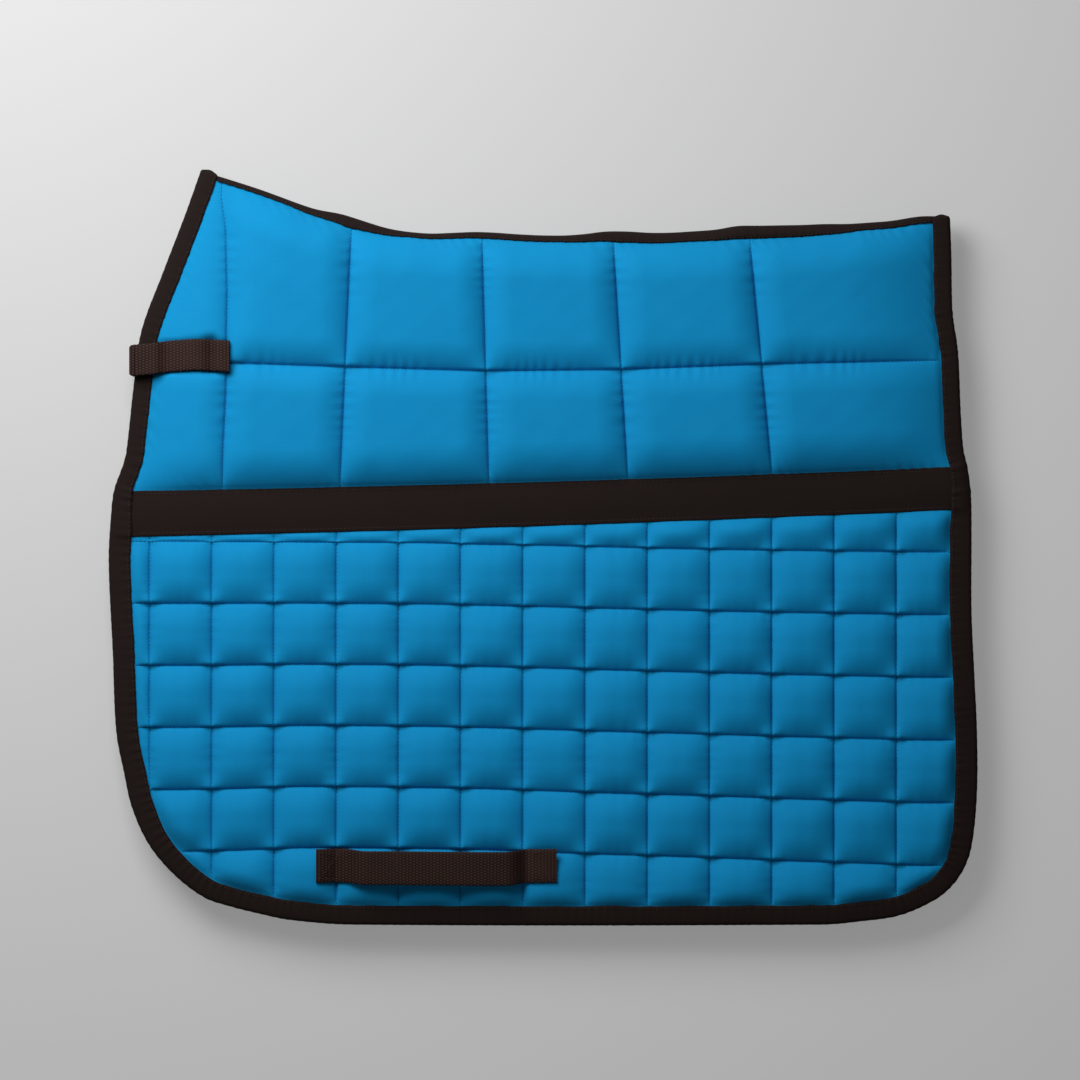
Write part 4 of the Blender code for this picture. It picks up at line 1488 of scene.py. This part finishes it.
    def webbing(self, label: str, line: Array, ys: Array, width: float | Array, thick: float,
                hides: str, body: str) -> None:
        """A strip of ribbed webbing with rounded edges.

        Args:
            label: the piece's name without its flap's.
            line: (x, height) points at the middle of the strip's thickness, evenly spaced.
            ys: the strip's middle in the pattern at each of them.
            width: of the strip, the same all along or at each of them.
            thick: its thickness.
            hides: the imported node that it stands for, without its flap's name.
            body: the body that carries it.
        """
        normal = left_normals(line)
        rib = np.cos(length_along(line) * 2 * math.pi / self.straps.rib_pitch)
        half, edge = np.broadcast_to(width / 2, len(line)), thick / 2
        across = np.array([-1, -0.985, -0.95, -0.88, -0.5, 0, 0.5, 0.88, 0.95, 0.985, 1.0])
        share = np.array([0.0, 0.55, 0.85, 1.0, 1.0, 1.0, 1.0, 1.0, 0.85, 0.55, 0.0])
        lines = []
        for sign, order in ((1, range(11)), (-1, range(9, 0, -1))):
            for k in order:
                offset = sign * share[k] * edge + sign * 0.05 * MM * rib * (share[k] > 0.5)
                place = line + normal * offset[:, None]
                edge_rib = 0.10 * MM * rib * np.sign(across[k]) * (abs(across[k]) > 0.98)
                flat = np.column_stack([place[:, 0], ys + across[k] * half + edge_rib])
                lines.append(self.lifted(flat, place[:, 1]))
        piece = swept(self.name(label), lines, self.finishes.webbing)
        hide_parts(self.name(hides))
        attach(piece, body)

    def resting(self, xs: Array, y: float | Array, width: float, quilt: Quilt) -> Array:
        """Height of the cloth or binding that a level strip lies on, softened along it.

        Args:
            xs: places along the strip.
            y: its middle in the pattern.
            width: of the strip.
            quilt: the panel under it.

        Returns:
            A height for each place.
        """
        best = np.zeros(len(xs))
        binding = self.layers.binding_top + 0.5 * MM
        for share in np.linspace(-0.5, 0.5, 9):
            points = np.column_stack([xs, np.broadcast_to(y + share * width, xs.shape)])
            level = quilt.height(points)
            best = np.maximum(best, np.where(self.pattern.past_binding(points) < 0.5 * MM, binding, level))
        reach = 5
        for settle in (np.max, np.mean):
            padded = np.pad(best, reach, mode="edge")
            best = settle([padded[k : k + len(xs)] for k in range(2 * reach + 1)], axis=0)
        return best

    def box_stitches(self, name: str, ends: Sequence[tuple[float, float, float]], y: float,
                     width: float, body: str) -> None:
        """Boxes of stitches, with one diagonal, that hold a strip down.

        Args:
            name: the piece's name.
            ends: for each box, where it starts and ends and the height of the strip's face.
            y: the strip's middle in the pattern.
            width: of the strip.
            body: the body that carries it.
        """
        rows = []
        half = width / 2 - self.straps.box_margin
        a, b = y - half, y + half
        for near, far, level in ends:
            box = evenly(np.array([[near, a], [far, a], [far, b], [near, b], [near, a], [far, b]]), 1 * MM)
            rows.append(self.lifted(box, np.full(len(box), level)))
        sewn = self.stitches.sew(self.name(name), rows, self.finishes.brown_thread, BOX_SEAM)
        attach(sewn, body)

    def loop(self) -> None:
        """The girth loop's webbing, sewn flat at both ends and free between them."""
        pat, straps, thick = self.pattern, self.straps, self.layers.web
        start, end = (-pat.length / 2 + back for back in straps.loop_ends)
        y, width = -pat.drop / 2 + straps.loop_up, straps.loop_width
        xs = np.linspace(start, end, 560)
        low = self.resting(xs, y, width, self.skirt) + self.layers.gap + thick / 2
        top = self.layers.fold - thick / 2
        from_end = np.minimum(xs - start, end - xs)
        free = half_swing(np.clip((from_end - straps.loop_sewn) / straps.loop_climb, 0, 1))
        line = evenly(np.column_stack([xs, low + (top - low) * free]), WEBBING_STEP)
        sag = straps.loop_sag * np.interp(line[:, 0], xs, free)
        ys = y + 0.3 * MM * np.sin(line[:, 0] / (26 * MM)) - sag
        self.webbing("girth_webbing", line, ys, width, thick, "girth_loop", self.side.body)
        over = thick / 2 + self.layers.thread
        near, far = straps.box_places
        ends = [(at + sign * near, at + sign * far, level + over)
                for at, sign, level in ((start, 1, low[0]), (end, -1, low[-1]))]
        self.box_stitches("girth_box_stitches", ends, y, width, self.side.body)

    def tab(self) -> None:
        """The front tab: its sewn layer with the turned-up fold, and its free layer."""
        pat, lay, straps = self.pattern, self.layers, self.straps
        thick, width, free_body = straps.tab_thick, straps.tab_width, f"{self.side.value}_tab"
        radius = (straps.tab_opening + thick) / 2
        ring_x = straps.tab_front + radius + thick / 2
        xs = np.linspace(ring_x, straps.tab_rear, 240)
        low = self.resting(xs, pat.tab_middle(xs), straps.tab_seat, self.upper) + lay.gap + thick / 2
        stack = thick + 2 * straps.patch_thick + 3 * lay.gap
        closing = half_swing(np.clip((xs - ring_x - straps.tab_level) / straps.tab_closing, 0, 1))
        high = np.maximum(low[0] + 2 * radius, low + stack)
        high = high + (low + stack - high) * closing
        turns = np.radians(np.linspace(90, 270, 41))
        ring = np.column_stack([ring_x + radius * np.cos(turns), low[0] + radius + radius * np.sin(turns)])
        whole = evenly(np.vstack([ring, np.column_stack([xs, low])[1:]]), WEBBING_STEP)
        free = evenly(np.column_stack([xs, high])[1:], WEBBING_STEP)
        turned = np.clip((ring_x - whole[:, 0]) / radius, 0, 1)
        self.webbing("tab_base_webbing", whole, pat.tab_middle(whole[:, 0]),
                     width - straps.tab_pinch * turned**4, thick, "tab_base", self.side.body)
        self.webbing("tab_free_webbing", free, pat.tab_middle(free[:, 0]), width, thick,
                     "tab_free", free_body)
        over = thick / 2 + lay.gap
        self.patch("loop", xs, low + over, pat.tab_middle(xs), self.side.body)
        self.patch("hook", xs, high - over - straps.patch_thick, pat.tab_middle(xs), free_body)

    def patch(self, label: str, xs: Array, level: Array, ys: Array, body: str) -> None:
        """A patch of touch-and-close tape between the tab's two layers.

        Args:
            label: loop or hook.
            xs: places along the tab.
            level: height of the patch's lower face at each of them.
            ys: the tab's middle in the pattern at each of them.
            body: the body that carries it.
        """
        straps = self.straps
        far, near = straps.patch_ends
        keep = (xs > xs[-1] - far) & (xs < xs[-1] - near)
        xs, level, ys = xs[keep], level[keep], ys[keep]
        lines = []
        for sign, lift in ((-1, 0), (1, 0), (1, straps.patch_thick), (-1, straps.patch_thick)):
            flat = np.column_stack([xs, ys + sign * straps.patch_width / 2])
            lines.append(self.lifted(flat, level + lift))
        piece = swept(self.name(f"tab_{label}_nap"), lines, self.finishes.nap)
        piece.data.shade_flat()
        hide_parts(self.name(f"tab_{label}_patch"))
        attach(piece, body)


@dataclass
class SpineTape:
    """The tape over the spine, which holds the two flaps together."""

    pattern: Pattern
    layers: Layers
    finishes: Finishes
    stitches: StitchMaker

    def build(self) -> None:
        """Make the tape and its two rows of stitches."""
        pat, lay = self.pattern, self.layers
        path = pat.crest
        depth = pat.past_binding(path - left_normals(path) * 1 * MM)
        keep = depth > -7 * MM
        path, depth = path[keep], depth[keep]
        down = -left_normals(path)
        tuck = 0.70 + 0.30 * np.clip((depth + 1 * MM) / (2 * MM), 0, 1)
        outer = (lay.edge + lay.gap + lay.tape) * tuck
        inner = outer - lay.tape
        run = np.arange(len(path)) * STEP
        pucker = np.sin(run * 2 * math.pi / (7.4 * MM) + 1.6 * np.sin(run / (23 * MM)))
        leg = pat.tape_width(path[:, 0]) + 0.12 * MM * pucker
        turn = np.minimum(outer, 0.85 * leg)
        still = np.zeros(len(path))
        angles = np.radians(np.linspace(-90, 90, 15))
        rings = [(leg, -outer + still)]
        rings += [(turn - turn * math.cos(a), outer * math.sin(a) + 0.12 * MM * pucker * math.sin(a))
                  for a in angles]
        rings += [(leg, outer + 0.12 * MM * pucker), (leg, inner + still)]
        rings += [(turn - (turn - lay.tape) * math.cos(a), inner * math.sin(a)) for a in angles[::-1]]
        rings += [(leg, -inner + still)]
        lines = [np.column_stack([path + down * inward[:, None], lay.fold + height])
                 for inward, height in rings]
        piece = swept("spine_cover_tape", lines, self.finishes.tape)
        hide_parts("spine_tape")
        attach(piece, "spine")
        rows = []
        for sign in (1, -1):
            flat = path + down * (leg - 1.1 * MM)[:, None]
            rows.append(np.column_stack([flat, lay.fold + sign * (outer + 0.1 * MM)])[8:-8])
        sewn = self.stitches.sew("spine_stitches", rows, self.finishes.brown_thread, TAPE_SEAM)
        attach(sewn, "spine")


@dataclass
class Studio:
    """The pale floor, the light from the upper left and the camera overhead."""

    view_width: float = 0.7992
    centre: tuple[float, float] = (-1.85 * MM, 5.55 * MM)
    distance: float = 5.0
    camera_far: float = 20.0
    lamp_place: tuple[float, ...] = (-0.53, 0.76, 0.84)
    lamp_aim: tuple[float, ...] = (-0.02, 0.02, 0.0)
    lamp_size: float = 0.85
    lamp_watts: float = 18.0
    sky: float = 0.115
    floor_size: float = 6.0

    def build(self) -> None:
        """Lay the floor, hang the light and aim the camera."""
        scene = bpy.context.scene
        scene.view_settings.view_transform = "Standard"
        self._floor()
        self._world()
        self._window()
        camera = bpy.data.cameras.new("overhead")
        camera.lens = camera.sensor_width * self.distance / self.view_width
        camera.clip_end = self.camera_far
        eye = bpy.data.objects.new("overhead", camera)
        eye.location = (*self.centre, self.distance + 0.03)
        scene.collection.objects.link(eye)
        scene.camera = eye

    def _floor(self) -> None:
        """A wide pale floor, just under the pad."""
        paint = bpy.data.materials.new("pale_floor")
        paint.use_nodes = True
        tree = paint.node_tree
        tree.nodes.clear()
        shader = node(tree, "ShaderNodeBsdfPrincipled", {}, {
            "Base Color": linear("#A6A6A6"), "Roughness": 0.9, "Specular IOR Level": 0.1})
        seen = node(tree, "ShaderNodeLightPath").outputs["Is Camera Ray"]
        glow = node(tree, "ShaderNodeEmission", {},
                    {"Color": linear("#FFFFFF"), "Strength": maths(tree, "MULTIPLY", seen, 0.24)})
        both = node(tree, "ShaderNodeAddShader", {}, {0: shader.outputs[0], 1: glow.outputs[0]})
        node(tree, "ShaderNodeOutputMaterial", {}, {"Surface": both.outputs[0]})
        size = self.floor_size
        corners = np.array([[-size, -size, 0], [size, -size, 0], [size, size, 0], [-size, size, 0]])
        mesh = mesh_from("floor", corners - [0, 0, 0.3 * MM], [(0, 1, 2, 3)])
        new_object("floor", mesh, paint)

    def _world(self) -> None:
        """Even light from all round."""
        world = bpy.data.worlds.new("soft_daylight")
        world.use_nodes = True
        world.node_tree.nodes["Background"].inputs["Color"].default_value = (1, 1, 1, 1)
        world.node_tree.nodes["Background"].inputs["Strength"].default_value = self.sky
        bpy.context.scene.world = world

    def _window(self) -> None:
        """A square soft light from the upper left."""
        light = bpy.data.lights.new("window", "AREA")
        light.energy = self.lamp_watts
        light.size = self.lamp_size
        lamp = bpy.data.objects.new("window", light)
        lamp.location = self.lamp_place
        facing = Vector(self.lamp_place) - Vector(self.lamp_aim)
        lamp.rotation_euler = facing.to_track_quat("Z", "Y").to_euler()
        bpy.context.scene.collection.objects.link(lamp)


def main() -> None:
    """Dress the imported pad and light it."""
    logging.basicConfig(level=logging.INFO, format="%(name)s: %(message)s")
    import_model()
    pattern, layers = Pattern(), Layers()
    finishes, stitches = Finishes(), StitchMaker()
    fold = Fold(pattern, layers)
    for side in Side:
        coarse = 1.7 * MM if side is Side.LEFT else 2.6 * MM
        Flap(side, pattern, layers, finishes, stitches, fold, coarse).build()
    SpineTape(pattern, layers, finishes, stitches).build()
    Studio().build()


if __name__ == "__main__":
    main()
